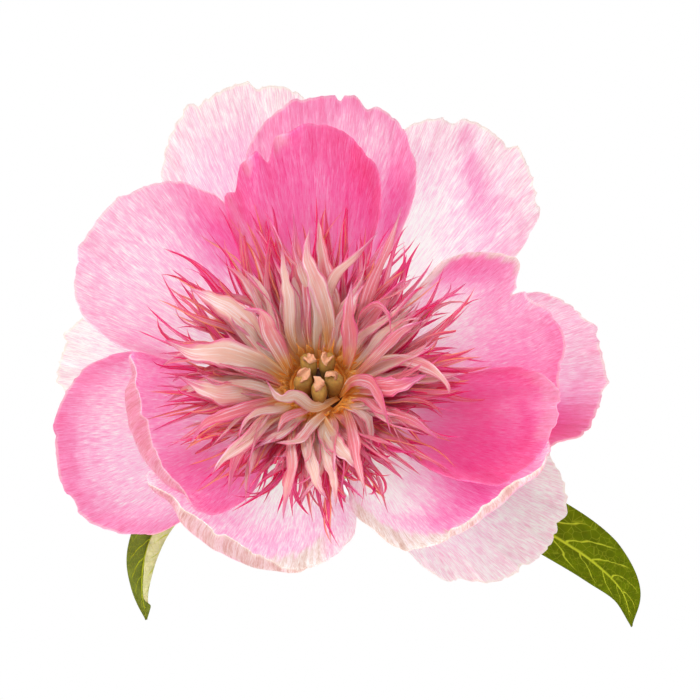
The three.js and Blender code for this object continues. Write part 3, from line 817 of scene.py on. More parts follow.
# The ribbons that lie over the rest, each as the pixels of the photograph that it covers from root to
# tip, how far it climbs from the ring, its width, its roll at the root and at the tip, and its tint.
SEEN_RIBBONS = (
    (((292, 376), (281, 354), (269, 331), (262, 313), (243, 309)), 27, 5.2, 20, -60, 0.6),
    (((290, 377), (262, 342), (236, 313), (209, 298), (190, 288)), 28, 6.4, -10, 10, 0.25),
    (((288, 382), (258, 364), (224, 353), (193, 352), (165, 340)), 28, 7.6, 5, -10, 0.0),
    (((288, 388), (253, 391), (224, 394), (202, 388), (178, 376)), 24, 6.2, -10, 10, 0.35),
    (((302, 360), (291, 335), (289, 300), (284, 273), (282, 244)), 26, 3.6, 30, -30, 0.05),
    (((330, 357), (328, 320), (318, 285), (307, 256), (310, 226)), 28, 4.8, -20, 25, 0.45),
    (((308, 357), (303, 330), (300, 295), (297, 255), (293, 213)), 22, 5.2, 0, 20, 0.9),
    (((334, 358), (336, 315), (327, 278), (321, 244), (318, 216)), 22, 4.2, 10, -20, 0.5),
    (((326, 357), (324, 320), (334, 278), (356, 256), (378, 232)), 24, 3.2, 0, 40, 0.2),
    (((346, 372), (350, 345), (348, 312), (352, 282)), 28, 4.2, -30, 40, 0.75),
    (((346, 368), (358, 328), (370, 289), (389, 244), (402, 207)), 22, 3.4, 0, 30, 0.8),
    (((350, 368), (356, 335), (364, 311), (377, 304), (388, 314), (391, 336)), 24, 2.4, 60, 40, 0.98),
    (((350, 382), (376, 356), (402, 331), (424, 320)), 28, 3.0, 0, 30, 0.7),
    (((350, 388), (373, 387), (398, 386), (428, 374)), 26, 5.4, 10, -10, 1.15),
    (((350, 380), (373, 365), (402, 360), (430, 369), (447, 384), (450, 395)), 24, 3.6, 0, 50, 0.5),
    (((340, 396), (353, 381), (369, 382), (381, 402), (391, 434)), 24, 3.4, -50, 60, 0.85),
    (((338, 398), (314, 407), (296, 396), (279, 398), (266, 380)), 16, 3.6, 30, -40, 0.05),
    (((331, 407), (313, 424), (298, 440), (275, 443)), 18, 3.2, 10, 50, 0.5),
    (((316, 408), (300, 412), (284, 419), (277, 433)), 18, 2.6, 60, -20, 0.8),
    (((300, 404), (269, 418), (247, 440), (224, 458), (212, 474)), 26, 4.0, 10, -35, 0.05),
    (((318, 410), (331, 438), (344, 453), (358, 470)), 24, 4.6, 15, -25, 0.05),
    (((306, 412), (306, 440), (312, 465), (319, 487), (328, 500)), 26, 3.4, -20, 30, 0.3),
    (((344, 404), (352, 430), (357, 460), (367, 497)), 26, 3.4, 0, 40, 0.8),
    (((322, 414), (326, 450), (334, 480), (336, 508)), 26, 3.0, 20, -30, 0.4),
    (((298, 408), (291, 440), (292, 467), (286, 495), (283, 520)), 26, 3.0, 20, -20, 0.6),
    (((290, 398), (262, 404), (230, 414), (205, 424), (190, 443)), 26, 3.6, 0, 30, 0.9),
    (((350, 398), (380, 412), (410, 420), (440, 440)), 22, 4.0, 0, 30, 0.7),
)
SEEN_ROOT = 5.0  # height of those ribbons' roots over the receptacle
SEEN_ARCH = 0.6 * math.pi  # of the sine that they climb by, at their tips
SEEN_LOOSENESS = (0.5, 0.16)  # their cupping and waviness
SEEN_ROUNDS = 4
RIBBON_SEED = 3
RIBBON_RELIEF = 0.3
RIBBON_RED = (0.96, 0.0, 0.0)  # the least light through each face of a ribbon: its tissue passes red
# Share of light that goes through a ribbon, the strength of the painted glow at its root (an emission that
# stands in for the table's light coming up through the roots), its colours by name, and where and how
# strongly they show.
OUTER_LOOKS = (0.76, 0.5, {
    "Root": "amber", "Middle": "rose", "Other": "magenta", "Tip": "magenta", "Edge": "magenta",
    "Painted Highlight": "straw", "Gold": "gold",
}, {"Streaks": 0.4, "Root Length": 0.35, "Tip Start": 0.5, "Edge Width": 0.4, "Gilt": 0.8, "Warmth": 0.7})
INNER_LOOKS = (0.74, 0.13, {
    "Root": "amber", "Middle": "cream", "Other": "blush", "Tip": "lilac", "Edge": "lilac",
    "Painted Highlight": "ivory", "Gold": "gold",
}, {"Streaks": 0.5, "Root Length": 0.34, "Tip Start": 0.7, "Edge Width": 0.3, "Gilt": 0.2, "Warmth": 0.6})


def outer_ribbons():
    """The outer burst's ribbons by the solids' own seeded rule, some of them longer than the solids'."""
    between = seeded_draws(OUTER_SEED)
    ribbons = []
    for i in range(OUTER_STAMINODES):
        tier = i % OUTER_TIERS
        azimuth = i * 360 / OUTER_STAMINODES + between(-2, 2)
        turn = math.radians(azimuth)
        reach = 40.5 + 5 * math.sin(turn) - 1.5 * math.cos(turn)
        drift = between(-9, 9)
        long = reach + between(-5, 4) - 2.5 * tier
        rise = (between(32, 35) + 4 * tier, between(23, 31) + 4 * tier)
        width, twist, widest = between(2, 3.4), between(-70, 70), between(0.4, 0.6)
        ribbons.append((azimuth, drift, 10 - 0.5 * tier, 1 + 0.55 * tier, long, *rise, width, twist, widest))
    ribbons = np.array(ribbons)
    for azimuth, half_width, more in OUTER_LONGER:
        ribbons[:, LENGTH] += bell(ribbons[:, AZIMUTH], azimuth, half_width, more)
    return ribbons


def inner_ribbons():
    """The inner burst's placed ribbons, and the rest by the solids' own seeded rule."""
    between = seeded_draws(INNER_SEED)
    ribbons = [
        (azimuth, drift, *INNER_ROOT, long, base, tip, width, twist, 0.5)
        for azimuth, long, base, tip, width, drift, twist in PLACED_RIBBONS
    ]
    for i in range(INNER_STAMINODES):
        base = between(58, 72)
        azimuth = i * 360 / INNER_STAMINODES + between(-6, 6)
        drift, long = between(-12, 12), between(26, 41)
        tip = base - between(14, 34)
        width, twist, widest = between(2.4, 4.2), between(-80, 80), between(0.35, 0.55)
        ribbons.append((azimuth, drift, *INNER_ROOT, long, base, tip, width, twist, widest))
    return np.array(ribbons)


def with_satellites(ribbons, shares, rng):
    """Each ribbon with finer ones beside it that leave it a little, each with its own turn and length."""
    rows = [ribbons]
    for share in shares:
        beside = ribbons.copy()
        count = len(beside)
        beside[:, AZIMUTH] += rng.uniform(-3.2, 3.2, count)
        beside[:, DRIFT] += rng.uniform(-6, 6, count)
        beside[:, ROOT_HEIGHT] += rng.uniform(-0.3, 0.5, count)
        beside[:, LENGTH] *= rng.uniform(0.8, 1.08, count)
        beside[:, ROOT_RISE] -= rng.uniform(0, 10, count)
        beside[:, TIP_RISE] += rng.uniform(-14, 8, count)
        beside[:, WIDTH] *= rng.uniform(*share, count)
        beside[:, TWIST] = rng.uniform(-120, 120, count)
        rows.append(beside)
    return np.vstack(rows)


def filaments(rng):
    """Short upright threads in the inner burst, close round the carpels."""
    spread = np.arange(FILAMENTS) * 360 / FILAMENTS
    rise = rng.uniform(66, 84, FILAMENTS)
    return np.column_stack((
        spread + rng.uniform(-3, 3, FILAMENTS), rng.uniform(-8, 8, FILAMENTS),
        rng.uniform(7.7, 8.4, FILAMENTS), np.full(FILAMENTS, 4.6), rng.uniform(5, 10, FILAMENTS),
        rise, rise - rng.uniform(5, 30, FILAMENTS), rng.uniform(1.2, 2.2, FILAMENTS),
        rng.uniform(-60, 60, FILAMENTS), np.full(FILAMENTS, 0.5),
    ))


def blade_sheet(centre, side, half, t, w, rng, cupping, waviness):
    """Lays ribbons' middle sheets round their centre lines. Rows run from root to tip and columns (w)
    from side to side, and each ribbon has its own cupping and wavy edges."""
    tangent = unit(np.gradient(centre, axis=1))
    side = unit(side - tangent * np.sum(side * tangent, axis=-1, keepdims=True))
    over = np.cross(tangent, side)
    cup, ripple, phase = (
        rng.uniform(low, high, (len(centre), 1, 1)) for low, high in ((-0.5, 1), (1.6, 3.6), (0, 1))
    )
    t, w, half = t[None, :, None], w[None, None, :], half[..., None]
    cycle = 2 * math.pi * (ripple * t + phase)
    wavy = waviness * smooth(0.2, 0.7, t) * np.abs(w)
    jag = 1 + wavy * np.sin(cycle * 1.7 + 3 * w)
    bend = half * (cupping * cup * (np.abs(w) ** 1.5 - 0.4) + wavy * np.sin(cycle + 2 * w))
    across = side[:, :, None, :] * (half * w * jag)[..., None]
    return centre[:, :, None, :] + across + over[:, :, None, :] * bend[..., None]


def blade_half(width, widest, t):
    """Half width of a ribbon along its length: narrow at its root, widest on its way, pointed."""
    below = 0.4 + 0.6 * np.sin(np.minimum(t / widest, 1) * math.pi / 2)
    above = 1 - np.clip((t - widest) / (1 - widest), 0, 1) ** 1.15
    return np.maximum(width * np.where(t < widest, below, above) / 2, 0.03)


def rolled(side, over, degrees):
    turn = np.radians(degrees)[..., None]
    return side * np.cos(turn) + over * np.sin(turn)


def ribbon_points(ribbons, t, w, rng, sway=0.05, cupping=0.7, waviness=0.14, finer=8):
    """Middle sheets of all ribbons, for rows t (root to tip) and columns w (-1 to 1): an array of
    ribbon, row, column and place, in the bloom's frame. sway is how far a ribbon winds from side to
    side, as a share of its length, and finer how many steps each row's climb is summed in."""
    azimuth, drift, radius0, height0, long, rise0, rise1, width, twist, widest = (
        column[:, None] for column in ribbons.T
    )
    hook, swing, phase, turns, wring = (
        rng.uniform(low, high, (len(ribbons), 1))
        for low, high in ((-90, 90), (0.3, 1), (0, 1), (0.7, 1.4), (-60, 60))
    )
    fine = np.linspace(0, 1, finer * (len(t) - 1) + 1)[None, :]
    slope = np.radians(rise0 + (rise1 - rise0) * fine + hook * np.maximum(0, fine - 0.55) ** 2 * 4)
    run, climb = (np.cumsum(part(slope), axis=1) * long * fine[0, 1] for part in (np.cos, np.sin))
    radius = (radius0 + run - run[:, :1])[:, ::finer]
    height = (height0 + climb - climb[:, :1])[:, ::finer]
    turn = np.radians(azimuth + drift * t**2)
    centre = np.stack((radius * np.cos(turn), radius * np.sin(turn), height), axis=-1)
    side = np.stack((-np.sin(turn), np.cos(turn), np.zeros_like(turn)), axis=-1)
    winding = 2 * math.pi * (turns * t + phase)
    loose = smooth(0, 0.5, t)
    centre = centre + side * (sway * swing * long * loose * np.sin(winding))[..., None]
    over = np.cross(unit(np.gradient(centre, axis=1)), side)
    side = rolled(side, over, twist * t + wring * np.sin(winding) * loose)
    return blade_sheet(centre, side, blade_half(width, widest, t), t, w, rng, cupping, waviness)


def seen_route(pixels, climb, t):
    """A ribbon's centre line in the row's frame, where it covers the photograph's pixels and climbs from
    the receptacle in an arch. Each round takes the scale at the height that the last one found."""
    flat = catmull_rom(np.column_stack((pixels, np.zeros(len(pixels)))), t)
    rise = SEEN_ROOT + climb * np.sin(SEEN_ARCH * t)
    z = np.full(len(t), 50.0)
    for _ in range(SEEN_ROUNDS):
        scale = MM_PER_PX * (1 - (z - RECEPTACLE_HEIGHT) / CAMERA_HEIGHT)
        x = CAMERA_AT[0] + (flat[:, 0] - FRAME_PX / 2) * scale
        y = CAMERA_AT[1] - (flat[:, 1] - FRAME_PX / 2) * scale
        forward = (y - RECEPTACLE_IN_BOX[1] - rise * LEAN_SIN) / LEAN_COS
        z = RECEPTACLE_HEIGHT + rise * LEAN_COS - forward * LEAN_SIN
    return np.column_stack((x, y, z))


def seen_points(t, w, rng):
    """Middle sheets of the ribbons that lie over the rest, in the row's frame."""
    centres, sides, halves = [], [], []
    for pixels, climb, width, root_roll, tip_roll, _ in SEEN_RIBBONS:
        centre = seen_route(pixels, climb, t)
        tangent = unit(np.gradient(centre, axis=0))
        level = -unit(np.cross(tangent, (0, 0, 1.0)))
        centres.append(centre)
        sides.append(rolled(level, np.cross(tangent, level), root_roll + (tip_roll - root_roll) * t))
        halves.append(blade_half(width, 0.5, t))
    return blade_sheet(np.array(centres), np.array(sides), np.array(halves), t, w, rng, *SEEN_LOOSENESS)


def ribbon_piece(name, points, tints, thickness):
    """Models one ribbon's grid, copies it for each ribbon, and lays each on its middle sheet."""
    rows, columns = points.shape[1] - 1, points.shape[2] - 1
    piece, x, along = grid_piece(name, columns, rows)
    apply_modifier(piece, "ARRAY", count=len(points), relative_offset_displace=(1.5, 0, 0))
    row = np.rint(along * rows).astype(int)
    column = np.rint((x + 1) / 2 * columns).astype(int)
    set_points(piece, points[:, row, column].reshape(-1, 3))
    set_attribute(piece, "tint", np.repeat(tints, len(x)))
    solidify(piece, thickness)
    return piece


def blade_places(rows, columns):
    return np.linspace(0, 1, rows + 1), np.linspace(1, -1, columns + 1)


def ribbon_looks(name):
    """Colour along and across a ribbon, with its veins and the painted highlights along them, its pale edge,
    each ribbon's own tint and the painted glow at its root.
    """
    group, given = new_group(
        name,
        {
            "Color": ("Root", "Middle", "Other", "Tip", "Edge", "Gold", "Painted Highlight"),
            "Float": ("Root Length", "Streaks", "Tip Start", "Edge Width", "Gilt", "Warmth"),
        },
        {"Color": ("Seen", "Through", "Painted Glow"), "Float": ("Height",)},
    )
    across, along = uv_places(group)
    tint = attribute(group, "tint")
    lines = noise(place(across * 11, along * 1.8, tint * 97), detail=4, roughness=0.65)
    patches = noise(place(across * 1.5, along * 4, tint * 53), detail=2)
    sideways = abs(across * 2 - 1)
    body = blend(step_up((patches - 0.5) * 0.8 + tint, 0.25, 0.85), given["Middle"], given["Other"])
    shifted = (patches - 0.5) * 0.5 + ((lines - 0.5) * 0.6 + along)
    looks = blend(step_up(shifted, given["Tip Start"], 1.0), body, given["Tip"])
    edge = step_up(sideways, 1 - given["Edge Width"], 1.0) * step_up(along, 0.15, 0.5)
    looks = blend(edge * 0.8, looks, given["Edge"])
    # Painted highlights: thin pale streaks along the veins.
    looks = blend(step_up(lines, 0.52, 0.66) * given["Streaks"], looks, given["Painted Highlight"])
    root = larger(1 - step_up(shifted, 0.0, given["Root Length"]), step_up(tint, 1.4, 1.6))
    looks = blend(root, looks, given["Root"])
    drawn = lines * 6.5 - 2.4 + step_up(sideways, 0.86, 0.98) * 0.35
    looks = deepen(looks, larger(drawn, 0.1))
    gilt = step_up(calc("FRACT", tint * 7.3), 0.6, 0.7) * step_up(sideways, 0.86, 0.97)
    looks = blend(gilt * given["Gilt"], looks, given["Gold"])
    # Painted glow: the roots' amber again, given off as light though the roots are no lamp.
    return close_group(group, {
        "Seen": looks, "Height": lines, "Painted Glow": blend(root, (0.0, 0.0, 0.0), given["Root"]),
        "Through": blend(1.0, deepen(looks, given["Warmth"]), RIBBON_RED, kind="LIGHTEN"),
    })


def ribbon_material(name, colours, share, glow, tints, strengths):
    """A burst's material. Its roots get a painted glow: an emission in their amber that stands in for the
    light they carry up from the table.
    """
    material, tree = new_material(name)
    values = {socket: getattr(colours, tint) for socket, tint in tints.items()} | strengths
    looks = use_group(tree, "Ribbon looks", ribbon_looks, values)
    return sheet_material(
        material, looks["Seen"], looks["Through"], looks["Height"], share, RIBBON_RELIEF,
        Emission_Color=looks["Painted Glow"], Emission_Strength=glow,
    )


def ring_piece(name, radii, heights):
    """The low disc that a burst grows from: a circle that is drawn out along the ring's profile."""
    (inner, outer), (low, high) = radii, heights
    inset, chamfer = RING_CHAMFER
    bpy.ops.mesh.primitive_circle_add(vertices=RING_SIDES, radius=inner, fill_type="NOTHING")
    piece = named(bpy.context.object, name)
    bpy.ops.object.mode_set(mode="EDIT")
    before, wall = inner, high - low
    steps = ((outer, 0.0), (outer, wall - chamfer), (outer - inset, chamfer), (inner, 0.0), (inner, -wall))
    for radius, rise in steps:
        bpy.ops.mesh.extrude_region_move(TRANSFORM_OT_translate={"value": (0, 0, rise)})
        bpy.ops.transform.resize(value=(radius / before, radius / before, 1), center_override=(0, 0, 0))
        before = radius
    bpy.ops.object.mode_set(mode="OBJECT")
    close_mesh(piece, 1e-4)
    set_points(piece, to_row(read_points(piece) + (0, 0, low)))
    return piece


def close_mesh(piece, seam, open_ends=False):
    """Merges the seam of a sheet that was wrapped round, fills its open ends and turns its faces
    outwards."""
    select_only(piece)
    bpy.ops.object.mode_set(mode="EDIT")
    bpy.ops.mesh.select_all(action="SELECT")
    bpy.ops.mesh.remove_doubles(threshold=seam)
    if open_ends:
        bpy.ops.mesh.select_all(action="DESELECT")
        bpy.ops.mesh.select_mode(type="EDGE")
        bpy.ops.mesh.select_non_manifold()
        bpy.ops.mesh.fill()
    bpy.ops.mesh.select_all(action="SELECT")
    bpy.ops.mesh.normals_make_consistent(inside=False)
    bpy.ops.object.mode_set(mode="OBJECT")


class PEONY_OT_staminodes(bpy.types.Operator):
    """Models both bursts of staminodes, ribbon by ribbon, on the rings that they grow from"""

    bl_idname = "peony.staminodes"
    bl_label = "Staminodes"

    def execute(self, context):
        thickness, colours = context.scene.peony_shape.staminode_thickness, context.scene.peony_colours
        rng = np.random.default_rng(RIBBON_SEED)
        ribbons = with_satellites(outer_ribbons(), OUTER_SATELLITES, rng)
        ribbons[:, WIDTH] *= OUTER_NARROWED
        points = to_row(ribbon_points(ribbons, *blade_places(*OUTER_GRID), rng))
        outer = ribbon_piece("outer_ribbons", points, rng.uniform(0, 1, len(ribbons)), thickness)
        outer = merge("fine_staminodes_outer", [outer, ring_piece("outer_ring", *OUTER_RING)])
        looks = ribbon_material("outer_staminode", colours, *OUTER_LOOKS)
        finish_piece(outer, "staminodes_outer", "outer_staminode", looks)
        ribbons = with_satellites(inner_ribbons(), INNER_SATELLITES, rng)
        ribbons[:, WIDTH] *= INNER_NARROWED
        ribbons[:, [ROOT_RISE, TIP_RISE]] -= INNER_OPENED
        threads = filaments(rng)
        sheets = (
            to_row(ribbon_points(ribbons, *blade_places(*INNER_GRID), rng)),
            seen_points(*blade_places(*SEEN_GRID), rng),
            to_row(ribbon_points(threads, *blade_places(*FILAMENT_GRID), rng)),
        )
        tints = (
            rng.uniform(0, 1, len(ribbons)),
            [row[-1] for row in SEEN_RIBBONS],
            np.full(FILAMENTS, FILAMENT_TINT),
        )
        pieces = [ribbon_piece("inner_ribbons", *pair, thickness) for pair in zip(sheets, tints)]
        inner = merge("fine_staminodes_inner", [*pieces, ring_piece("inner_ring", *INNER_RING)])
        looks = ribbon_material("inner_staminode", colours, *INNER_LOOKS)
        finish_piece(inner, "staminodes_inner", "inner_staminode", looks)
        return {"FINISHED"}


# Carpels: flasks on the receptacle, each with its curled stigma.
CARPEL_AZIMUTHS = (129, 57, 201, 344, 273)
CARPEL_PROFILE = ((0, 0), (1.1, 0), (1.4, 3), (1.9, 7), (2.2, 10), (1.8, 12.2), (0, 13.4))
CARPEL_BULGE = 1.25  # how much deeper a flask is towards the axis than across
CARPEL_SEAT = 4.15  # from the axis
CARPEL_LEAN = math.radians(2)
CARPEL_BEND_START, CARPEL_BEND_SLOPE = 5.0, 0.2  # from this height on, all bend back towards +Y
FLASK_COLUMNS, FLASK_ROWS = 40, 36
STIGMA_GRID = (28, 10)  # rows and columns
SEAM = 1e-6  # in metres, within which the two sides of a seam are merged
STIGMA = (180, 30, -0.6, 11.6, 5.5, 110, -50, 3, 20, 0.6)  # a ribbon, in the flask's own frame
STIGMA_LOOSENESS = (0.02, 0.9, 0.08)  # its sway, cupping and waviness
STIGMA_SEED = 60
STIGMA_THICKNESS = 1.0
DOWN_TINT = (0.6, 0.42, 0.14)


def flask_points(x, y):
    """Wraps a grid round the flask: x from -1 to 1 goes round, y from 0 to 1 goes up the profile."""
    walk = catmull_rom(np.column_stack((CARPEL_PROFILE, np.zeros(len(CARPEL_PROFILE)))), y)
    radius, height = np.maximum(walk[:, 0], 0), walk[:, 1]
    turn = x * math.pi
    squash = 1 + 0.05 * np.cos(3 * turn) - bell(turn, 0, 0.25, 0.09) * smooth(0.2, 0.6, y)
    return np.column_stack(
        (CARPEL_BULGE * radius * squash * np.cos(turn), radius * squash * np.sin(turn), height)
    )


def in_carpel(points, azimuth):
    """Places points of the flask's own frame in the bloom's frame."""
    turn = math.radians(azimuth)
    x = points[:, 0] * math.cos(CARPEL_LEAN) + points[:, 2] * math.sin(CARPEL_LEAN) + CARPEL_SEAT
    z = -points[:, 0] * math.sin(CARPEL_LEAN) + points[:, 2] * math.cos(CARPEL_LEAN) + 2 * SEAT_GAP
    y = points[:, 1]
    bend = CARPEL_BEND_SLOPE * np.maximum(0, z - CARPEL_BEND_START)
    return np.column_stack(
        (x * math.cos(turn) - y * math.sin(turn), x * math.sin(turn) + y * math.cos(turn) + bend, z)
    )


def downy_material(name, tint, dark, scale, roughness=0.75, crown=None):
    """A matt, downy or waxy plant surface with soft mottling. A crown is the heights between which
    another colour takes over, and that colour."""
    material, tree = new_material(name)
    places = object_places(tree)
    mottle = noise(places, scale, detail=4, roughness=0.6)
    down = noise(places, scale * 8, roughness=0.7)
    tinted = blend(step_up(mottle, 0.3, 0.7), [c * dark for c in tint], tint)
    tinted = blend(down * 0.25, tinted, DOWN_TINT)
    if crown:
        (low, high), over = crown
        tinted = blend(step_up(split(places)[2], low * MM, high * MM), tinted, over)
    return close_material(material, principled(
        tinted, roughness, bump(down, 0.08), Subsurface_Weight=0.15, Subsurface_Scale=1.5 * MM
    ))


class PEONY_OT_carpels(bpy.types.Operator):
    """Models the carpels, each a downy flask with a curled stigma"""

    bl_idname = "peony.carpels"
    bl_label = "Carpels"

    def execute(self, context):
        colours = context.scene.peony_colours
        down = downy_material("carpel_down", colours.olive, dark=0.55, scale=500)
        crest = downy_material("stigma", colours.salmon, dark=0.75, scale=900, roughness=0.55)
        rows, columns = STIGMA_GRID
        for index, azimuth in enumerate(CARPEL_AZIMUTHS):
            flask, x, y = grid_piece("flask", FLASK_COLUMNS, FLASK_ROWS)
            set_points(flask, to_row(in_carpel(flask_points(x, y), azimuth)))
            close_mesh(flask, SEAM)
            flask.data.materials.append(down)
            stigma, x, y = grid_piece("stigma", columns, rows)
            rng = np.random.default_rng(STIGMA_SEED + index)
            ribbon = np.array([STIGMA], float)
            sheet = ribbon_points(ribbon, *blade_places(rows, columns), rng, *STIGMA_LOOSENESS)
            row, column = np.rint(y * rows).astype(int), np.rint((x + 1) / 2 * columns).astype(int)
            set_points(stigma, to_row(in_carpel(sheet[0, row, column], azimuth)))
            solidify(stigma, STIGMA_THICKNESS * MM)
            stigma.data.materials.append(crest)
            name = f"carpel_{index + 1}"
            finish_piece(merge("fine_" + name, [flask, stigma]), name, "carpel")
        return {"FINISHED"}


# Stem, receptacle and sepals.
STEM_POINTS = ((0, -5.6, 12), (0, -10, 6.4), (0, -17, 3.9), (0, -26, 3.05), (0, -36, 2.95))
STEM_SIDES, STEM_RINGS = 40, 40
NECK_DEPTH = 2.4
# The receptacle's rings, as (depth below its flat top, radius); the last is the stem's first.
RECEPTACLE_RINGS = (
    (0, RECEPTACLE_RADIUS - 0.4), (0.4, RECEPTACLE_RADIUS), (RECEPTACLE_DEPTH - 1, RECEPTACLE_RADIUS),
    (RECEPTACLE_DEPTH, RECEPTACLE_RADIUS - 1), (RECEPTACLE_DEPTH + NECK_DEPTH, STEM_RADIUS),
)
# The heights between which the receptacle's green turns into its dark crown, and the crown's colour.
CROWN = ((24.6, 26.4), (0.06, 0.02, 0.004))
SEPAL_COUNT = 5
SEPAL_COLUMNS, SEPAL_ROWS = 24, 20
SEPAL = {"claw": -9.4, "cup": 1.2}
SEPAL_FORM = (33, 17, (-22, -14, 0))  # fan, length and rise, as a petal's
SEPAL_GLOW = (0.94, 0.92, 0.62)  # light through each face of a sepal
SEPAL_THROUGH = 0.88


def stem_route():
    """Centres, directions and radii of the rings, from the receptacle's flat top to the cut end."""
    down = np.array([0, -LEAN_SIN, -LEAN_COS])
    centres = [np.array([0, 0, RECEPTACLE_HEIGHT]) + down * depth for depth, _ in RECEPTACLE_RINGS]
    radii = [radius for _, radius in RECEPTACLE_RINGS]
    stalk = catmull_rom([centres[-1], *STEM_POINTS], np.linspace(0, 1, STEM_RINGS))[1:]
    centres = np.vstack((centres, stalk))
    tangent = unit(np.gradient(centres, axis=0))
    tangent[:len(radii)] = down
    return centres, tangent, np.array(radii + [STEM_RADIUS] * len(stalk))


def sepal_material(colours):
    """A pale green sheet that lets much of the table's light through to the bursts over it."""
    material, tree = new_material("sepal_green")
    mottle = noise(object_places(tree), 200, detail=4)
    shade = step_up(mottle, 0.3, 0.7)
    seen = blend(shade, [0.7 * c for c in colours.leaf], colours.leaf)
    through = blend(shade, [0.8 * c for c in SEPAL_GLOW], SEPAL_GLOW)
    return sheet_material(material, seen, through, mottle, SEPAL_THROUGH, 0.1)


class PEONY_OT_stem_and_sepals(bpy.types.Operator):
    """Models the receptacle with its stem, and the sepals under the petals"""

    bl_idname = "peony.stem_and_sepals"
    bl_label = "Stem and Sepals"

    def execute(self, context):
        colours = context.scene.peony_colours
        centres, tangent, radii = stem_route()
        across = np.array([1.0, 0, 0])
        over = np.cross(tangent, across)
        stem, x, y = grid_piece("fine_stem", STEM_SIDES, len(centres) - 1)
        row = np.rint(y * (len(centres) - 1)).astype(int)
        turn = (x * math.pi)[:, None]
        groove = 1 + 0.025 * np.cos(5 * turn) * (radii[row, None] < 3)
        ring = across * np.cos(turn) + over[row] * np.sin(turn)
        set_points(stem, from_surface(centres[row] + ring * radii[row, None] * groove))
        close_mesh(stem, SEAM, open_ends=True)
        green = downy_material("stem_green", colours.stem, dark=0.75, scale=120, roughness=0.5, crown=CROWN)
        finish_piece(stem, "stem", "stem", green)
        bpy.ops.object.shade_smooth_by_angle(angle=math.radians(40))
        green = sepal_material(colours)
        for index in range(SEPAL_COUNT):
            sepal = blade(SEPAL, 20 + index * 360 / SEPAL_COUNT, *SEPAL_FORM, seed=30 + index)
            name = f"sepal_{index + 1}"
            piece, x, u = grid_piece("fine_" + name, SEPAL_COLUMNS, SEPAL_ROWS)
            set_points(piece, to_row(petal_points(sepal, u, -np.sin(x * math.pi / 2))))
            finish_piece(piece, name, "sepal", green)
            solidify(piece, context.scene.peony_shape.sepal_thickness)
        return {"FINISHED"}


# Leaves: midrib points and half widths as in the solids, how steeply both sides rise in degrees, and the
# side and share of the width where one is folded over onto the blade. pale is how far the face's colour
# is towards that of the back.
LEAVES = {
    "leaf_right": SimpleNamespace(
        midrib=((3.5, -12, 7.4), (20, -18, 12), (44, -29, 11.5), (65, -40.5, 9.2), (80, -50.5, 6.4),
                (88, -59, 3.6), (91, -69, 0.9)),
        half_widths=(10, 6.2), vee=9, flap=(1, 2.0), pale=0.0,
    ),
    "leaf_left": SimpleNamespace(
        midrib=((-3.8, -14.5, 5.8), (-19, -21, 10.5), (-35, -28, 11), (-45.5, -37, 9.2),
                (-50.5, -47, 6.2), (-52, -57, 3.2), (-50.8, -67, 0.9)),
        half_widths=(9, 6), vee=4, flap=(-1, 0.36), pale=0.13,
    ),
}
FLAP_OPENS = (1.6, 4.0)  # half widths between which a folded side opens out towards the leaf's ends
FLAP_TURN = 0.92 * math.pi
FOLD_RADIUS, FOLD_SHARE = 0.8, 0.12  # in millimetres, and at most of the half width
STALK_SHARE = 0.18
STALK_WIDTH = 2.6
STALK_THICKNESS = 2.0
LEAF_COLUMNS, LEAF_ROWS = 64, 150
LEAF_VEINS = 11
LEAF_THROUGH = {"_face": 0.6, "_back": 0.3}


def leaf_points(leaf, u, v):
    """A leaf's middle sheet, for arrays u (stalk to tip) and v (side to side)."""
    centre = catmull_rom(leaf.midrib, u)
    step = 1e-4
    along = unit(catmull_rom(leaf.midrib, u + step) - catmull_rom(leaf.midrib, u - step))
    side = unit(np.cross(along, (0, 0, 1.0)))
    over = np.cross(side, along)
    first, second = leaf.half_widths
    t = np.maximum(0, (u - STALK_SHARE) / (1 - STALK_SHARE))
    width = np.where(v < 0, first, second) * np.maximum(0, np.sin(math.pi * t**0.8)) ** 0.9
    half = np.hypot(width, STALK_WIDTH / 2 * (1 - 0.75 * smooth(0.3, 1, u)))
    rise = math.tan(math.radians(leaf.vee)) * smooth(STALK_SHARE, 0.5, u)
    folded_side, crease = leaf.flap
    start = crease * half
    across = half * v
    lift = np.abs(across) * rise + 0.5 * smooth(0.3, 0.5, u) * np.abs(v) * np.sin(u * 26 + 2 * v)
    bend = np.minimum(FOLD_RADIUS, FOLD_SHARE * half)
    turn = np.minimum((np.abs(across) - start) / bend, FLAP_TURN) * smooth(*FLAP_OPENS, half)
    beyond = np.maximum(0, np.abs(across) - start - turn * bend)
    flap_lift = start * rise + bend * (1 - np.cos(turn)) + beyond * np.sin(turn)
    flap_across = folded_side * (start + bend * np.sin(turn) + beyond * np.cos(turn))
    folded = v * folded_side > crease
    lift = np.where(folded, flap_lift, lift)
    across = np.where(folded, flap_across, across)
    return centre + side * across[:, None] + over * lift[:, None]


def leaf_veins(name):
    """The midrib, the arching side veins and the fine net between them, over the leaf's own places."""
    group, given = new_group(name, {"Float": ("Veins", "Seed")}, {"Float": ("Vein", "Net")})
    across, along = uv_places(group)
    aside = abs(across * 2 - 1)
    wander = noise(place(across * 4, along * 9, given["Seed"]), detail=2)
    order = along * given["Veins"] + step_up(across, 0.49, 0.51) * 0.5
    order = order - calc("POWER", aside, 1.35) * 1.7 + wander * 0.7
    near = abs(calc("FRACT", order) - 0.5)
    side_vein = (1 - step_up(near, 0.015, 0.07)) * (1 - step_up(aside, 0.62, 0.9))
    midrib = 1 - step_up(aside, 0.02, 0.075)
    net = add_node(
        "ShaderNodeTexVoronoi", {"Vector": place(across * 9, along * 42, given["Seed"]), "Scale": 1.0},
        "Distance", feature="DISTANCE_TO_EDGE",
    )
    return close_group(group, {"Vein": larger(midrib, side_vein), "Net": 1 - step_up(net, 0.0, 0.06)})


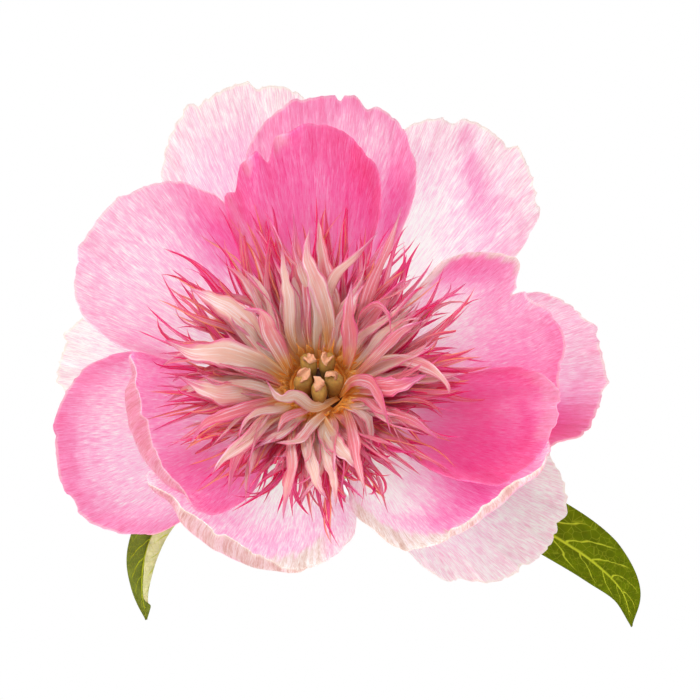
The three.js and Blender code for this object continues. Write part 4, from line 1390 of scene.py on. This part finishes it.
def leaf_material(name, colours, seed, pale, share):
    """One face of a leaf, its colour so far towards that of the back."""
    material, tree = new_material(name)
    lines = use_group(tree, "Leaf veins", leaf_veins, {"Veins": LEAF_VEINS, "Seed": seed})
    across, along = uv_places(tree)
    mottle = noise(place(across * 6, along * 24), detail=4)
    body = [a + (b - a) * pale for a, b in zip(colours.leaf, colours.underside)]
    tinted = blend(step_up(mottle, 0.25, 0.75), [0.7 * c for c in body], body)
    tinted = blend(lines["Net"] * 0.3, tinted, colours.vein)
    tinted = blend(lines["Vein"], tinted, colours.vein)
    height = lines["Vein"] * -0.8 + lines["Net"] * -0.3
    return sheet_material(material, tinted, tinted, height, share, 0.25, roughness=0.6, gloss=0.1)


class PEONY_OT_leaves(bpy.types.Operator):
    """Models the leaves with their stalks, veins and folds"""

    bl_idname = "peony.leaves"
    bl_label = "Leaves"

    def execute(self, context):
        blade_share = context.scene.peony_shape.leaf_thickness / MM / STALK_THICKNESS
        for seed, (name, leaf) in enumerate(LEAVES.items(), start=3):
            piece, x, u = grid_piece("fine_" + name, LEAF_COLUMNS, LEAF_ROWS)
            set_points(piece, from_surface(leaf_points(leaf, u, x)))
            set_uv(piece, (x + 1) / 2, u)
            finish_piece(piece, name, "leaf", *(
                leaf_material(name + side, context.scene.peony_colours, seed, pale, LEAF_THROUGH[side])
                for side, pale in (("_face", leaf.pale), ("_back", 1.0))
            ))
            weights = 1 + (blade_share - 1) * smooth(0, 2 * STALK_SHARE, u)
            solidify(piece, STALK_THICKNESS * MM, back_slot=1, weights=weights)
            lay_on_surface(piece)
        return {"FINISHED"}


# The stage.
TABLE_SIZE = 3.0
TABLE_DROP = 0.0002  # below the flower, so that the two surfaces don't meet
LAMP_SIZE = 0.35
LAMP_PLACE = Matrix.Translation((-0.35, 0.35, 0.7))
LAMP_TURN = Matrix.Rotation(math.radians(-45), 4, "Z") @ Matrix.Rotation(math.radians(-35), 4, "X")
SENSOR = 36.0


class PEONY_OT_stage(bpy.types.Operator):
    """Sets the light table, the soft light and the camera"""

    bl_idname = "peony.stage"
    bl_label = "Stage"

    def execute(self, context):
        scene, stage = context.scene, context.scene.peony_stage
        bpy.ops.mesh.primitive_plane_add(size=TABLE_SIZE, location=(0, 0, -TABLE_DROP))
        table = named(context.object, "light_table")
        material, tree = new_material("light_table")
        eye = add_node("ShaderNodeLightPath", {}, "Is Camera Ray", tree)
        strength = eye * (1.0 - stage.table_light) + stage.table_light
        glow = add_node("ShaderNodeEmission", {"Strength": strength})
        table.data.materials.append(close_material(material, glow))
        scene.world = bpy.data.worlds.new("room")
        scene.world.use_nodes = True
        room = scene.world.node_tree.nodes["Background"]
        feed(room.inputs["Color"], (1.0, 1.0, 1.0))
        feed(room.inputs["Strength"], stage.room_light)
        light = bpy.data.lights.new("soft_lamp", "AREA")
        light.shape = "DISK"
        light.size = LAMP_SIZE
        light.energy = stage.lamp_power
        lamp = bpy.data.objects.new("soft_lamp", light)
        lamp.matrix_world = LAMP_PLACE @ LAMP_TURN
        scene.collection.objects.link(lamp)
        lens = bpy.data.cameras.new("camera")
        lens.sensor_width = SENSOR
        lens.lens = SENSOR * (stage.camera_height / MM) / (FRAME_PX * MM_PER_PX)
        camera = bpy.data.objects.new("camera", lens)
        x, y = CAMERA_AT
        camera.location = (x * MM, y * MM, RECEPTACLE_HEIGHT * MM + stage.camera_height)
        scene.collection.objects.link(camera)
        scene.camera = camera
        scene.view_settings.view_transform = "Standard"
        scene.cycles.use_denoising = True
        return {"FINISHED"}


class PEONY_PT_panel(bpy.types.Panel):
    """Lists the flower's parts, sizes and colours"""

    bl_label = "Peony"
    bl_idname = "PEONY_PT_panel"
    bl_space_type = "VIEW_3D"
    bl_region_type = "UI"
    bl_category = "Peony"

    def draw(self, context):
        for operator in OPERATORS:
            self.layout.operator(operator.bl_idname)
        for settings in SETTINGS:
            box = self.layout.box()
            group = getattr(context.scene, settings)
            for name in group.__annotations__:
                box.prop(group, name)


SETTINGS = {"peony_shape": PeonyShape, "peony_colours": PeonyColours, "peony_stage": PeonyStage}
OPERATORS = (
    PEONY_OT_guard_petals,
    PEONY_OT_middle_petals,
    PEONY_OT_inner_petals,
    PEONY_OT_staminodes,
    PEONY_OT_carpels,
    PEONY_OT_stem_and_sepals,
    PEONY_OT_leaves,
    PEONY_OT_stage,
)
CLASSES = (*SETTINGS.values(), *OPERATORS, PEONY_PT_panel)


def register():
    for cls in CLASSES:
        bpy.utils.register_class(cls)
    for name, cls in SETTINGS.items():
        setattr(bpy.types.Scene, name, PointerProperty(type=cls))


def unregister():
    for name in SETTINGS:
        delattr(bpy.types.Scene, name)
    for cls in reversed(CLASSES):
        bpy.utils.unregister_class(cls)


def main():
    register()
    bpy.ops.peony.guard_petals()
    bpy.ops.peony.middle_petals()
    bpy.ops.peony.inner_petals()
    bpy.ops.peony.staminodes()
    bpy.ops.peony.carpels()
    bpy.ops.peony.stem_and_sepals()
    bpy.ops.peony.leaves()
    bpy.ops.peony.stage()


if __name__ == "__main__":
    main()
